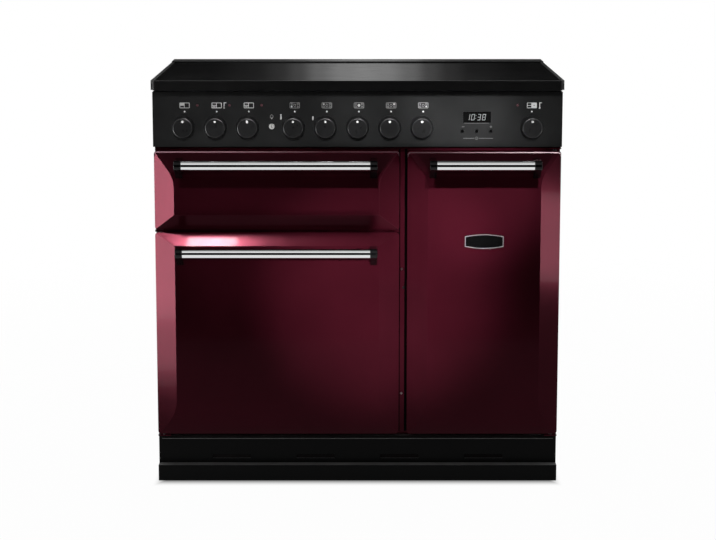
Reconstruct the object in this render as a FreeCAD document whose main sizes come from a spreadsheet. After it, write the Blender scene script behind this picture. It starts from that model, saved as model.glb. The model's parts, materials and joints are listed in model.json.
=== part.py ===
import FreeCAD, Part
import math
import os
from types import SimpleNamespace

import Sketcher
from FreeCAD import Placement, Rotation, Vector

# A free-standing range cooker, 900 mm wide, in millimetres.
# X runs left to right seen from the front, Y from the front to the rear, Z upward from the floor.
# The origin is the middle of the footprint on the floor.

DRIVING_SIZES = {
    # Widths, left to right
    "left_door_width": 539,
    "mullion_gap": 18,
    "right_door_width": 337,
    "hob_side_overhang": 3,
    # Heights, floor upward
    "plinth_clearance": 2,
    "plinth_height": 100.5,
    "plinth_gap": 8,
    "lower_door_height": 457.5,
    "door_gap": 6,
    "grill_door_height": 175,
    "panel_gap": 10.5,
    "panel_height": 120,
    "hob_gap": 4.5,
    "hob_height": 23,
    # Depths, rear forward
    "rear_overhang": 3,
    "carcass_depth": 547,
    "seal_gap": 6,
    "door_liner_depth": 8,
    "door_return_depth": 14,
    "door_bevel_depth": 22,
    "handle_standoff": 37,
    "handle_radius": 11,
    "panel_setback": 8,
    "hob_front_overhang": 4,
    # Sheet thicknesses and shared clearances
    "casing_sheet": 1.5,
    "frame_sheet": 2,
    "door_skin": 1.5,
    "cavity_sheet": 1,
    "cut_overrun": 5,
    "loose_clearance": 1,
    "running_clearance": 0.06,
    "rest_clearance": 0.3,
    "hole_clearance": 0.3,
    "snug_clearance": 0.1,
    # Door pressings
    "door_side_bevel": 44.5,
    "door_slope_height": 77,
    "door_corner_radius": 7,
    "lower_door_top_bevel": 27,
    "grill_door_bottom_bevel": 36,
    "door_roll_height": 84,
    "door_back_flange": 26,
    "door_liner_inset": 12,
    # Handles
    "upper_handle_drop": 25.5,
    "lower_handle_drop": 38,
    "long_handle_span": 410,
    "short_handle_span": 211,
    "handle_end_width": 16,
    "handle_foot_drop": 34,
    # Hinges
    "pivot_inset": 14,
    "pivot_setback": 8,
    "pivot_pin_radius": 4,
    "pivot_plate_thickness": 3,
    "pivot_plate_reach": 7,
    "pivot_plate_width": 28,
    "pivot_block_inset": 6,
    "pivot_block_width": 20,
    "pivot_block_height": 18,
    "grill_axis_rise": 20,
    "grill_ear_inset": 30,
    "grill_ear_thickness": 5,
    "grill_ear_radius": 6.5,
    "grill_ear_rise": 14.5,
    "grill_ear_width": 8,
    "grill_ear_elbow": 11.5,
    "grill_pin_radius": 3,
    "grill_cheek_thickness": 3,
    "grill_cheek_reach": 4.5,
    "grill_cheek_rise": 18,
    "grill_cheek_drop": 5,
    # Badge plate
    "badge_width": 85,
    "badge_side_height": 19,
    "badge_height": 32,
    "badge_thickness": 3,
    "badge_drop": 197.5,
    # Side and rear casing
    "base_clearance": 60,
    "casing_flange": 18.5,
    "louvre_width": 240,
    "louvre_height": 5,
    "louvre_pitch": 14,
    "louvre_drop": 120,
    "louvre_middle_gap": 60,
    # Base frame, feet and rollers
    "base_top": 100,
    "base_rib_spacing": 180,
    "foot_inset": 47,
    "foot_setback": 45,
    "foot_pad_radius": 20,
    "foot_pad_height": 8,
    "foot_stem_radius": 5,
    "roller_inset": 47,
    "roller_setback": 50,
    "roller_radius": 25,
    "roller_width": 24,
    "roller_pin_radius": 5,
    "roller_cheek_thickness": 3,
    "roller_cheek_half_width": 14,
    "roller_cheek_tail": 10,
    "roller_edge_radius": 3,
    # Plinth
    "plinth_upper_setback": 36,
    "plinth_ledge_depth": 22,
    "plinth_ledge_height": 38,
    "plinth_slot_width": 86,
    "plinth_slot_height": 8.5,
    "plinth_slot_pitch": 189,
    "plinth_slot_rise": 48.5,
    # Cavities
    "cavity_side_margin": 45,
    "cavity_bottom_margin": 42,
    "cavity_top_margin": 36,
    "tall_top_margin": 45,
    "grill_bottom_margin": 34,
    "grill_top_margin": 25,
    "oven_depth": 430,
    "grill_depth": 360,
    "liner_flange": 12,
    "insulation_thickness": 34,
    "insulation_setback": 5,
    # Fan, baffle, element and motor of each oven
    "fan_rise": 190,
    "fan_cover_half_width": 108,
    "fan_cover_depth": 40,
    "fan_cover_hole_radius": 9,
    "fan_cover_hole_circle": 34,
    "fan_disc_radius": 62,
    "fan_disc_thickness": 1.5,
    "fan_blade_height": 16,
    "fan_blade_inner": 34,
    "fan_blade_outer": 58,
    "fan_blade_thickness": 1.5,
    "fan_hub_radius": 9,
    "fan_wall_gap": 9,
    "fan_shaft_radius": 4,
    "fan_shaft_length": 40,
    "fan_wall_hole_radius": 8,
    "ring_element_radius": 84,
    "element_tube_radius": 3.25,
    "ring_element_setback": 18,
    "ring_leg_spacing": 24,
    "motor_radius": 34,
    "motor_length": 52,
    "motor_clearance": 4,
    "lamp_radius": 20,
    "lamp_height": 14,
    "lamp_drop": 45,
    "lamp_side_inset": 45,
    # Racks and shelves
    "rack_strip_width": 12,
    "rack_strip_thickness": 2.5,
    "rack_end_inset": 30,
    "rack_rest_width": 12,
    "rack_rest_thickness": 3,
    "rack_bottom_rise": 60,
    "rack_pitch": 70,
    "shelf_bar_radius": 3,
    "shelf_wire_radius": 1.5,
    "shelf_side_clearance": 6,
    "shelf_front_inset": 18,
    "shelf_depth": 330,
    # Grill compartment
    "grill_runner_rise": 50,
    "grill_runner_width": 14,
    "grill_runner_thickness": 2,
    "pan_depth": 30,
    "pan_length": 300,
    "pan_rim": 9,
    "pan_sheet": 1,
    "pan_side_clearance": 4,
    "pan_front_inset": 20,
    "trivet_rise": 18,
    "trivet_inset": 8,
    "grill_element_drop": 22,
    "grill_element_inset": 60,
    "grill_element_length": 220,
    "grill_element_front_inset": 45,
    # Door gaskets
    "gasket_width": 10,
    "gasket_inset": 3,
    # Control panel
    "knob_height": 43.5,
    "oven_knob_inset": 67,
    "knob_radius": 25,
    "knob_length": 25,
    "knob_waist_radius": 22,
    "knob_skirt_height": 5,
    "knob_rim_round": 3,
    "knob_dot_radius": 2,
    "knob_dot_depth": 0.6,
    "knob_dot_inset": 8,
    "spindle_radius": 3,
    "spindle_length": 24,
    "spindle_hole_radius": 5,
    "switch_size": 42,
    "switch_depth": 34,
    "neon_radius": 2.4,
    "neon_length": 14,
    "neon_proud": 0.6,
    "neon_offset": 31,
    "neon_rise": 47.5,
    "light_button_rise": 1.5,
    "light_button_radius": 6,
    "light_button_proud": 3,
    "button_stem_radius": 2,
    "button_stem_length": 12,
    "button_cap_depth": 5,
    "button_travel": 1.5,
    "light_switch_size": 18,
    "light_switch_depth": 20,
    "clock_window_width": 60,
    "clock_window_height": 23,
    "clock_window_rise": 66,
    "clock_button_radius": 3.5,
    "clock_button_proud": 1.8,
    "clock_button_pitch": 31,
    "clock_button_rise": 34.5,
    "clock_case_width": 84,
    "clock_case_margin": 9,
    "clock_case_depth": 30,
    # Hob
    "hob_corner_radius": 10,
    "hob_trim_rise": 2,
    "hob_trim_depth": 75,
    "hob_skirt": 2,
    "hob_rim_width": 8,
    "hob_ledge_width": 8,
    "hob_ledge_thickness": 2,
    "glass_thickness": 4,
    "glass_clearance": 0.5,
    "glass_sink": 0.5,
    "vent_slot_length": 46,
    "vent_slot_width": 7,
    "vent_slot_pitch": 121,
    "vent_slot_inset": 14,
    "tray_flange": 26,
    "tray_front_inset": 60,
    "heater_height": 36,
    "heater_wall": 10,
    "heater_floor": 12,
    "small_heater_radius": 75,
    "medium_heater_radius": 92,
    "large_heater_radius": 110,
    # Terminal box
    "terminal_width": 90,
    "terminal_height": 80,
    "terminal_depth": 48,
    "terminal_wall": 2,
    "terminal_inset": 100,
    "terminal_rise": 150,
    "gland_outer_radius": 15,
    "gland_bore_radius": 10,
    "gland_length": 24,
}

# Counts that real cookers of this size have
HOB_KNOB_COUNT = 5
PLINTH_SLOT_COUNT = 4
VENT_SLOT_COUNT = 4
LOUVRE_COUNT = 12
FAN_BLADE_COUNT = 8
FAN_COVER_HOLE_COUNT = 8
SHELF_WIRE_COUNT = 14
TALL_SHELF_WIRE_COUNT = 8
TRIVET_WIRE_COUNT = 11
GRILL_ELEMENT_RUNS = 6
MAIN_RACK_LEVELS = 4
TALL_RACK_LEVELS = 6

# Rack levels left empty below each shelf
LOWER_SHELF_LEVEL_COUNT = 1
UPPER_SHELF_LEVEL_COUNT = 4

# Knob spacing as a share of half the width, and the light button's place in the gap between two knobs
KNOB_PITCH_SHARE = 0.1566
LIGHT_BUTTON_SHARE = 0.53

# How far the curve at the foot of a door's upper slope reaches, as shares of the slope's height and depth
SLOPE_CURVE_HEIGHT_SHARE = 0.455
SLOPE_CURVE_DEPTH_SHARE = 0.288

# Heater centres as shares of the glass width and depth, with the name of the radius each one takes
HEATER_PLACE_SHARES = (
    (0.15, 0.32, "medium_heater_radius"),
    (0.16, 0.72, "small_heater_radius"),
    (0.50, 0.52, "large_heater_radius"),
    (0.84, 0.72, "medium_heater_radius"),
    (0.85, 0.30, "small_heater_radius"),
)

AXES = {"X": Vector(1, 0, 0), "Y": Vector(0, 1, 0), "Z": Vector(0, 0, 1)}
ROD_ROTATIONS = {
    "X": Rotation(Vector(0, 1, 0), 90),
    "Y": Rotation(Vector(1, 0, 0), -90),
    "Z": Rotation(),
}
PLANE_ROTATIONS = {
    "XY_Plane": Rotation(),
    "XZ_Plane": Rotation(Vector(1, 0, 0), 90),
    "YZ_Plane": Rotation(Vector(1, 1, 1), 120),
}
PLANE_NORMALS = {"XY_Plane": "Z", "XZ_Plane": "Y", "YZ_Plane": "X"}
FACING_FRONT = Rotation(Vector(1, 0, 0), 90)

doc = FreeCAD.newDocument("range_cooker")


class Size:
    """A length with its value and the sheet formula that keeps it bound to the driving sizes."""

    def __init__(self, value, formula):
        self.value = value
        self.formula = formula

    def __add__(self, other):
        other = as_size(other)
        return Size(self.value + other.value, f"({self.formula} + {other.formula})")

    def __radd__(self, other):
        return as_size(other) + self

    def __sub__(self, other):
        other = as_size(other)
        return Size(self.value - other.value, f"({self.formula} - {other.formula})")

    def __rsub__(self, other):
        return as_size(other) - self

    def __mul__(self, other):
        other = as_size(other)
        return Size(self.value * other.value, f"({self.formula} * {other.formula})")

    def __rmul__(self, other):
        return as_size(other) * self

    def __truediv__(self, other):
        other = as_size(other)
        return Size(self.value / other.value, f"({self.formula} / {other.formula})")

    def __neg__(self):
        return Size(-self.value, f"(0 - {self.formula})")


def as_size(number):
    return number if isinstance(number, Size) else Size(number, str(number))


def fill_sheet():
    """Put the driving sizes in the sheet and give them back as bound sizes."""
    sheet = doc.addObject("Spreadsheet::Sheet", "Sizes")
    for row, (name, value) in enumerate(DRIVING_SIZES.items(), start=1):
        sheet.set(f"A{row}", name)
        sheet.set(f"B{row}", str(value))
        sheet.setAlias(f"B{row}", name)
    doc.recompute()
    return SimpleNamespace(**{name: Size(sheet.get(name), f"Sizes.{name}") for name in DRIVING_SIZES})


def bind(item, path, size):
    """Bind one property of an object to a size."""
    item.setExpression(path, as_size(size).formula)


def bind_place(item, x, y, z):
    for letter, size in zip("xyz", (x, y, z)):
        bind(item, f".Placement.Base.{letter}", size)


def block(name, x, y, z):
    """A box between two corners, each direction given as its low and high size."""
    box = doc.addObject("Part::Box", name)
    for path, (low, high) in zip(("Length", "Width", "Height"), (x, y, z)):
        bind(box, path, as_size(high) - low)
    bind_place(box, x[0], y[0], z[0])
    return box


def rod(name, axis, radius, x, y, z):
    """A cylinder along an axis; the size along that axis is a low and high pair."""
    places = dict(zip("XYZ", (x, y, z)))
    low, high = places[axis]
    places[axis] = low
    cylinder = doc.addObject("Part::Cylinder", name)
    cylinder.Placement = Placement(Vector(), ROD_ROTATIONS[axis])
    bind(cylinder, "Radius", radius)
    bind(cylinder, "Height", as_size(high) - low)
    bind_place(cylinder, places["X"], places["Y"], places["Z"])
    return cylinder


def fused(name, items):
    joined = doc.addObject("Part::MultiFuse", name)
    joined.Shapes = items
    return joined


def grouped(name, items):
    """Separate solids that share one node."""
    group = doc.addObject("Part::Compound", name)
    group.Links = items
    return group


def without(name, base, tools):
    """The base with every tool cut away."""
    rest = doc.addObject("Part::Cut", name)
    rest.Base = base
    rest.Tool = tools[0] if len(tools) == 1 else fused(f"{name}_tools", tools)
    return rest


def common(name, first, second):
    shared = doc.addObject("Part::MultiCommon", name)
    shared.Shapes = [first, second]
    return shared


def pin_point(sketch, element, end, point):
    """Hold one point of a sketch at its two sizes."""
    for kind, size in zip(("DistanceX", "DistanceY"), point):
        constraint = Sketcher.Constraint(kind, -1, 1, element, end, float(as_size(size).value))
        number = sketch.addConstraint(constraint)
        bind(sketch, f"Constraints[{number}]", size)


def as_point(pair):
    return Vector(as_size(pair[0]).value, as_size(pair[1]).value, 0)


def arc_between(start, end, radius, turn):
    """An arc of under a half turn that bulges outward from a loop; turn is the loop's own direction."""
    chord = end - start
    toward_centre = Vector(-chord.y, chord.x, 0) * (turn / chord.Length)
    centre = (start + end) / 2 + toward_centre * math.sqrt(radius ** 2 - (chord.Length / 2) ** 2)
    first = math.atan2(start.y - centre.y, start.x - centre.x)
    last = math.atan2(end.y - centre.y, end.x - centre.x)
    forward = (last - first) % math.tau < math.pi
    angles = (first, last) if forward else (last, first)
    circle = Part.Circle(centre, Vector(0, 0, 1), radius)
    return Part.ArcOfCircle(circle, *angles), (1, 2) if forward else (2, 1)


def loop_turn(corners):
    """1 for a loop that runs anticlockwise and -1 for one that runs clockwise."""
    area = sum(first.x * last.y - last.x * first.y
               for first, last in zip(corners, corners[1:] + corners[:1]))
    return math.copysign(1, area)


def draw_loop(sketch, points, arcs=None):
    """A closed loop; arcs gives the radius of each stretch that bulges, by the number of its start."""
    corners = [as_point(pair) for pair in points]
    turn = loop_turn(corners)
    ends = []
    for number, start in enumerate(corners):
        end = corners[(number + 1) % len(corners)]
        if arcs and number in arcs:
            curve, order = arc_between(start, end, arcs[number].value, turn)
        else:
            curve, order = Part.LineSegment(start, end), (1, 2)
        ends.append((sketch.addGeometry(curve, False), *order))
    for number, (element, first, last) in enumerate(ends):
        following, following_first, _ = ends[(number + 1) % len(ends)]
        sketch.addConstraint(Sketcher.Constraint("Coincident", element, last, following, following_first))
        pin_point(sketch, element, first, points[number])
        if arcs and number in arcs:
            limit = sketch.addConstraint(Sketcher.Constraint("Radius", element, arcs[number].value))
            bind(sketch, f"Constraints[{limit}]", arcs[number])


def draw_rectangle(sketch, u, v):
    draw_loop(sketch, [(u[0], v[0]), (u[1], v[0]), (u[1], v[1]), (u[0], v[1])])


def draw_circle(sketch, centre, radius):
    circle = Part.Circle(as_point(centre), Vector(0, 0, 1), as_size(radius).value)
    element = sketch.addGeometry(circle, False)
    limit = sketch.addConstraint(Sketcher.Constraint("Radius", element, as_size(radius).value))
    bind(sketch, f"Constraints[{limit}]", radius)
    pin_point(sketch, element, 3, centre)


def free_sketch(name, plane, level):
    """A sketch on a plane parallel to an origin plane, at a level along that plane's axis."""
    sketch = doc.addObject("Sketcher::SketchObject", name)
    sketch.Placement = Placement(Vector(), PLANE_ROTATIONS[plane])
    bind(sketch, f".Placement.Base.{PLANE_NORMALS[plane].lower()}", level)
    return sketch


def prism(name, plane, span, points, arcs=None):
    """An outline drawn out along its plane's axis from the low to the high size of the span."""
    sketch = free_sketch(f"{name}_outline", plane, span[0])
    draw_loop(sketch, points, arcs)
    solid = doc.addObject("Part::Extrusion", name)
    solid.Base = sketch
    solid.DirMode = "Custom"
    solid.Dir = AXES[PLANE_NORMALS[plane]]
    solid.Solid = True
    bind(solid, "LengthFwd", as_size(span[1]) - span[0])
    return solid


def new_body(label):
    body = doc.addObject("PartDesign::Body", label)
    body.Label = label
    return body


def body_sketch(body, name, plane, level=None):
    """A sketch attached to one of the body's own origin planes, moved off it by a level."""
    sketch = body.newObject("Sketcher::SketchObject", name)
    support = next(part for part in body.Origin.OriginFeatures if part.Role == plane)
    sketch.AttachmentSupport = [(support, "")]
    sketch.MapMode = "FlatFace"
    if level is not None:
        bind(sketch, ".AttachmentOffset.Base.z", -level if plane == "XZ_Plane" else level)
    return sketch


def pad(body, sketch, length, backwards=False):
    feature = body.newObject("PartDesign::Pad", f"{sketch.Name}_pad")
    feature.Profile = sketch
    feature.Reversed = backwards
    bind(feature, "Length", length)
    doc.recompute()
    return feature


def pocket(body, sketch, length, backwards=False):
    """A pocket that has to take material away."""
    before = body.Shape.Volume
    feature = body.newObject("PartDesign::Pocket", f"{sketch.Name}_pocket")
    feature.Profile = sketch
    feature.Reversed = backwards
    bind(feature, "Length", length)
    doc.recompute()
    if not body.Shape.Volume < before:
        raise RuntimeError(f"{feature.Name} cuts nothing")
    return feature


def revolved(body, sketch):
    """A full turn of the sketch about its upright axis."""
    feature = body.newObject("PartDesign::Revolution", f"{sketch.Name}_turn")
    feature.Profile = sketch
    feature.ReferenceAxis = (sketch, ["V_Axis"])
    feature.Angle = 360
    doc.recompute()
    return feature


def pattern(body, kind, name, feature, axis, count, spread, length=None):
    """Copies of a feature along or about an axis of the sketch it came from."""
    copies = body.newObject(kind, name)
    copies.Originals = [feature]
    copies.Occurrences = count
    if length is None:
        copies.Axis = axis
        copies.Angle = spread
    else:
        copies.Direction = axis
        bind(copies, "Length", length)
    body.Tip = copies
    doc.recompute()
    return copies


def plate_body(label, level, thickness, x, z, holes=(), windows=()):
    """An upright plate with its front at a level, round holes and rectangular windows."""
    body = new_body(label)
    blank = body_sketch(body, f"{label}_blank", "XZ_Plane", level)
    draw_rectangle(blank, x, z)
    pad(body, blank, thickness, backwards=True)
    if holes or windows:
        cuts = body_sketch(body, f"{label}_cuts", "XZ_Plane", level - size.cut_overrun)
        for centre, radius in holes:
            draw_circle(cuts, centre, radius)
        for window_x, window_z in windows:
            draw_rectangle(cuts, window_x, window_z)
        pocket(body, cuts, thickness + 2 * size.cut_overrun)
    return body


size = fill_sheet()


def middle(low, high):
    return (low + high) / 2


# Places across the width
half_width = (size.left_door_width + size.mullion_gap + size.right_door_width) / 2
hob_half_width = half_width + size.hob_side_overhang
casing_inside = half_width - size.casing_sheet
left_door_right = size.left_door_width - half_width
right_door_left = half_width - size.right_door_width

# Places up the height
door_bottom = size.plinth_height + size.plinth_gap
lower_door_top = door_bottom + size.lower_door_height
grill_door_bottom = lower_door_top + size.door_gap
doors_top = grill_door_bottom + size.grill_door_height
panel_bottom = doors_top + size.panel_gap
panel_top = panel_bottom + size.panel_height
hob_bottom = panel_top + size.hob_gap
hob_top = hob_bottom + size.hob_height
rim_top = hob_top - size.hob_trim_rise
glass_top = rim_top - size.glass_sink
glass_bottom = glass_top - size.glass_thickness
ledge_bottom = glass_bottom - size.hob_ledge_thickness
casing_top = ledge_bottom - size.casing_sheet

# Places through the depth
door_stack = size.seal_gap + size.door_liner_depth + size.door_return_depth + size.door_bevel_depth
total_depth = size.rear_overhang + size.carcass_depth + door_stack + size.handle_standoff + size.handle_radius
rear = total_depth / 2
casing_rear = rear - size.rear_overhang
rear_panel_front = casing_rear - size.casing_sheet
frame_face = casing_rear - size.carcass_depth
frame_back = frame_face + size.frame_sheet
door_back = frame_face - size.seal_gap
return_back = door_back - size.door_liner_depth
door_edge = return_back - size.door_return_depth
door_face = door_edge - size.door_bevel_depth
bar_axis = door_face - size.handle_standoff
panel_front = door_face + size.panel_setback
panel_back = panel_front + size.casing_sheet
hob_front = door_face - size.hob_front_overhang

# Hinge axes
grill_axis_height = grill_door_bottom + size.grill_axis_rise
pivot_depth = door_edge + size.pivot_setback


def door(name, span_x, span_z, rolled, bowed, bottom_rise, top_drop, hinge_side):
    """The outline of a door: rolled has a curved lower edge, bowed has a curved upper slope."""
    left, right = span_x
    bottom, top = span_z
    return SimpleNamespace(name=name, left=left, right=right, bottom=bottom, top=top, rolled=rolled,
                           bowed=bowed, bottom_rise=bottom_rise, top_drop=top_drop, hinge_side=hinge_side)


GRILL_DOOR = door("grill_door", (-half_width, left_door_right), (grill_door_bottom, doors_top), False, True,
                  size.grill_door_bottom_bevel, size.door_slope_height, None)
MAIN_DOOR = door("main_oven_door", (-half_width, left_door_right), (door_bottom, lower_door_top), True,
                 False, size.door_roll_height, size.lower_door_top_bevel, "left")
TALL_DOOR = door("tall_oven_door", (right_door_left, half_width), (door_bottom, doors_top), True, True,
                 size.door_roll_height, size.door_slope_height, "right")


def cavity(name, front_door, bottom_margin, top_margin, depth):
    """The inside of a cooking space, set in from the edges of the door that closes it."""
    return SimpleNamespace(name=name, left=front_door.left + size.cavity_side_margin,
                           right=front_door.right - size.cavity_side_margin,
                           bottom=front_door.bottom + bottom_margin, top=front_door.top - top_margin,
                           front=frame_back, rear=frame_back + depth,
                           centre=middle(front_door.left, front_door.right))


MAIN_CAVITY = cavity("main_oven", MAIN_DOOR, size.cavity_bottom_margin, size.cavity_top_margin,
                     size.oven_depth)
TALL_CAVITY = cavity("tall_oven", TALL_DOOR, size.cavity_bottom_margin, size.tall_top_margin,
                     size.oven_depth)
GRILL_CAVITY = cavity("grill", GRILL_DOOR, size.grill_bottom_margin, size.grill_top_margin,
                      size.grill_depth)


# Casing


def side_panel(label, outer, inner, flange_end):
    """An upright side sheet with a return flange along its front and rear edges."""
    front, back = frame_back, rear_panel_front
    fold = size.casing_sheet
    points = [(outer, front), (flange_end, front), (flange_end, front + fold), (inner, front + fold),
              (inner, back - fold), (flange_end, back - fold), (flange_end, back), (outer, back)]
    body = new_body(label)
    outline = body_sketch(body, f"{label}_section", "XY_Plane", size.base_clearance)
    draw_loop(outline, points)
    pad(body, outline, casing_top - size.base_clearance)
    return body


def side_panels():
    flange_end = casing_inside - size.casing_flange
    left = side_panel("side_panel_left", -half_width, -casing_inside, -flange_end)
    right = side_panel("side_panel_right", half_width, casing_inside, flange_end)
    return [left, right]


def terminal_centre():
    return half_width - size.terminal_inset, size.terminal_rise


def rear_panel():
    """The rear sheet, with two columns of louvre slots and the cable entry hole."""
    x, z = terminal_centre()
    hole_radius = size.gland_outer_radius + size.snug_clearance
    body = plate_body("rear_panel", rear_panel_front, size.casing_sheet, (-half_width, half_width),
                      (size.base_clearance, casing_top), holes=[((x, z), hole_radius)])
    slots = body_sketch(body, "rear_panel_louvres", "XZ_Plane", rear_panel_front - size.cut_overrun)
    slot_bottom = casing_top - size.louvre_drop
    inner = size.louvre_middle_gap / 2
    for low, high in ((-inner - size.louvre_width, -inner), (inner, inner + size.louvre_width)):
        draw_rectangle(slots, (low, high), (slot_bottom, slot_bottom + size.louvre_height))
    slot = pocket(body, slots, size.casing_sheet + 2 * size.cut_overrun)
    rows = pattern(body, "PartDesign::LinearPattern", "rear_panel_rows", slot, (slots, ["V_Axis"]),
                   LOUVRE_COUNT, None, size.louvre_pitch * (LOUVRE_COUNT - 1))
    rows.Reversed = True
    return body


def front_frame():
    """The welded front frame: a plate with three openings, pivot plates and the grill hinge ears."""
    plate = plate_body("front_frame_plate", frame_face, size.frame_sheet, (-half_width, half_width),
                       (size.base_clearance, panel_bottom),
                       windows=[((space.left, space.right), (space.bottom, space.top))
                                for space in (MAIN_CAVITY, TALL_CAVITY, GRILL_CAVITY)])
    plates = [pivot_plate(leaf, end) for leaf in (MAIN_DOOR, TALL_DOOR) for end in ("top", "bottom")]
    ears = [grill_ear(side) for side in ("left", "right")]
    return fused("front_frame", [plate] + plates + ears)


def pivot_x(leaf):
    return leaf.left + size.pivot_inset if leaf.hinge_side == "left" else leaf.right - size.pivot_inset


def pivot_plate_level(leaf, end):
    """The low face of a pivot plate, in the middle of the gap above or below its door."""
    gaps = {("main_oven_door", "top"): size.door_gap, ("tall_oven_door", "top"): size.panel_gap}
    gap = gaps.get((leaf.name, end), size.plinth_gap)
    near = leaf.top if end == "top" else leaf.bottom - gap
    return near + (gap - size.pivot_plate_thickness) / 2


def pivot_plate(leaf, end):
    """A plate out of the frame that holds one end of a door's upright hinge."""
    name = f"{leaf.name}_{end}_pivot_plate"
    level = pivot_plate_level(leaf, end)
    span_z = (level, level + size.pivot_plate_thickness)
    if leaf.hinge_side == "left":
        span_x = (leaf.left, leaf.left + size.pivot_plate_width)
    else:
        span_x = (leaf.right - size.pivot_plate_width, leaf.right)
    plate = block(f"{name}_blank", span_x, (pivot_depth - size.pivot_plate_reach, frame_back), span_z)
    hole = rod(f"{name}_hole", "Z", size.pivot_pin_radius + size.running_clearance,
               pivot_x(leaf), pivot_depth, (level - size.cut_overrun, span_z[1] + size.cut_overrun))
    return without(name, plate, [hole])


def grill_ear_x(side):
    inset = size.grill_ear_inset
    return GRILL_DOOR.left + inset if side == "left" else GRILL_DOOR.right - inset


def grill_ear(side):
    """A bent arm from the frame that reaches over the door's lower edge to the grill door's pin."""
    x = grill_ear_x(side)
    half = size.grill_ear_thickness / 2
    span = (x - half, x + half)
    low = grill_axis_height + size.grill_ear_rise
    high = low + size.grill_ear_width
    elbow = door_edge + size.grill_ear_elbow
    eye = size.grill_ear_radius
    points = [(door_edge + eye, grill_axis_height), (elbow, low), (frame_back, low), (frame_back, high),
              (door_edge, high), (door_edge - eye, grill_axis_height)]
    arm = prism(f"grill_ear_{side}_arm", "YZ_Plane", span, points)
    boss = rod(f"grill_ear_{side}_eye", "X", eye, span, door_edge, grill_axis_height)
    hole = rod(f"grill_ear_{side}_hole", "X", size.grill_pin_radius + size.running_clearance,
               (span[0] - size.cut_overrun, span[1] + size.cut_overrun), door_edge, grill_axis_height)
    whole = fused(f"grill_ear_{side}_blank", [arm, boss])
    return without(f"grill_ear_{side}", whole, [hole])


def base_frame():
    """A folded base tray, open below, with two cross ribs, roller brackets and their pins."""
    x = (-casing_inside, casing_inside)
    y = (frame_back + size.casing_sheet, rear_panel_front - size.casing_sheet)
    z = (size.base_clearance, size.base_top)
    fold = size.casing_sheet
    outer = block("base_frame_blank", x, y, z)
    hollow = block("base_frame_hollow", (x[0] + fold, x[1] - fold), (y[0] + fold, y[1] - fold),
                   (z[0] - size.cut_overrun, z[1] - fold))
    tray = without("base_frame_tray", outer, [hollow])
    ribs = []
    for name, side in (("front", -1), ("rear", 1)):
        rib_y = middle(y[0], y[1]) + size.base_rib_spacing / 2 * side
        ribs.append(block(f"base_frame_{name}_rib", x, (rib_y, rib_y + fold), (z[0], z[1])))
    brackets = [item for side in (-1, 1) for item in roller_bracket(side)]
    return fused("base_frame", [tray] + ribs + brackets)


def roller_place(side):
    return (half_width - size.roller_inset) * side, casing_rear - size.roller_setback


def roller_bracket(side):
    """Two cheeks under the base and the pin between them that a rear roller turns on."""
    name = "left" if side < 0 else "right"
    x, y = roller_place(side)
    inner = size.roller_width / 2 + size.running_clearance
    outer = inner + size.roller_cheek_thickness
    half = size.roller_cheek_half_width
    z = (size.roller_radius - size.roller_cheek_tail, size.base_top - size.casing_sheet)
    cheeks = [block(f"roller_{name}_inner_cheek", (x - outer, x - inner), (y - half, y + half), z),
              block(f"roller_{name}_outer_cheek", (x + inner, x + outer), (y - half, y + half), z)]
    pin = rod(f"roller_{name}_pin", "X", size.roller_pin_radius, (x - outer, x + outer), y,
              size.roller_radius)
    return cheeks + [pin]


def rear_roller(label, side):
    """A rear roller with rounded edges and a running bore."""
    x, y = roller_place(side)
    body = new_body(label)
    half = size.roller_width / 2
    bore = size.roller_pin_radius + size.running_clearance
    edge = size.roller_edge_radius
    tyre = size.roller_radius
    section = body_sketch(body, f"{label}_section", "XZ_Plane")
    draw_loop(section, [(bore, -half), (tyre - edge, -half), (tyre, edge - half), (tyre, half - edge),
                        (tyre - edge, half), (bore, half)],
              arcs={1: edge, 3: edge})
    revolved(body, section)
    body.Placement = Placement(Vector(), ROD_ROTATIONS["X"])
    bind_place(body, x, y, size.roller_radius)
    return body


def levelling_feet():
    """Two screwed front feet: a round pad and the threaded stem under the base."""
    feet = []
    for name, side in (("left", -1), ("right", 1)):
        x = (half_width - size.foot_inset) * side
        y = frame_back + size.foot_setback
        foot_pad = rod(f"foot_{name}_pad", "Z", size.foot_pad_radius, x, y, (0, size.foot_pad_height))
        stem = rod(f"foot_{name}_stem", "Z", size.foot_stem_radius, x, y,
                   (size.foot_pad_height, size.base_top - size.casing_sheet))
        feet.append(fused(f"foot_{name}", [foot_pad, stem]))
    return grouped("levelling_feet", feet)


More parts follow.
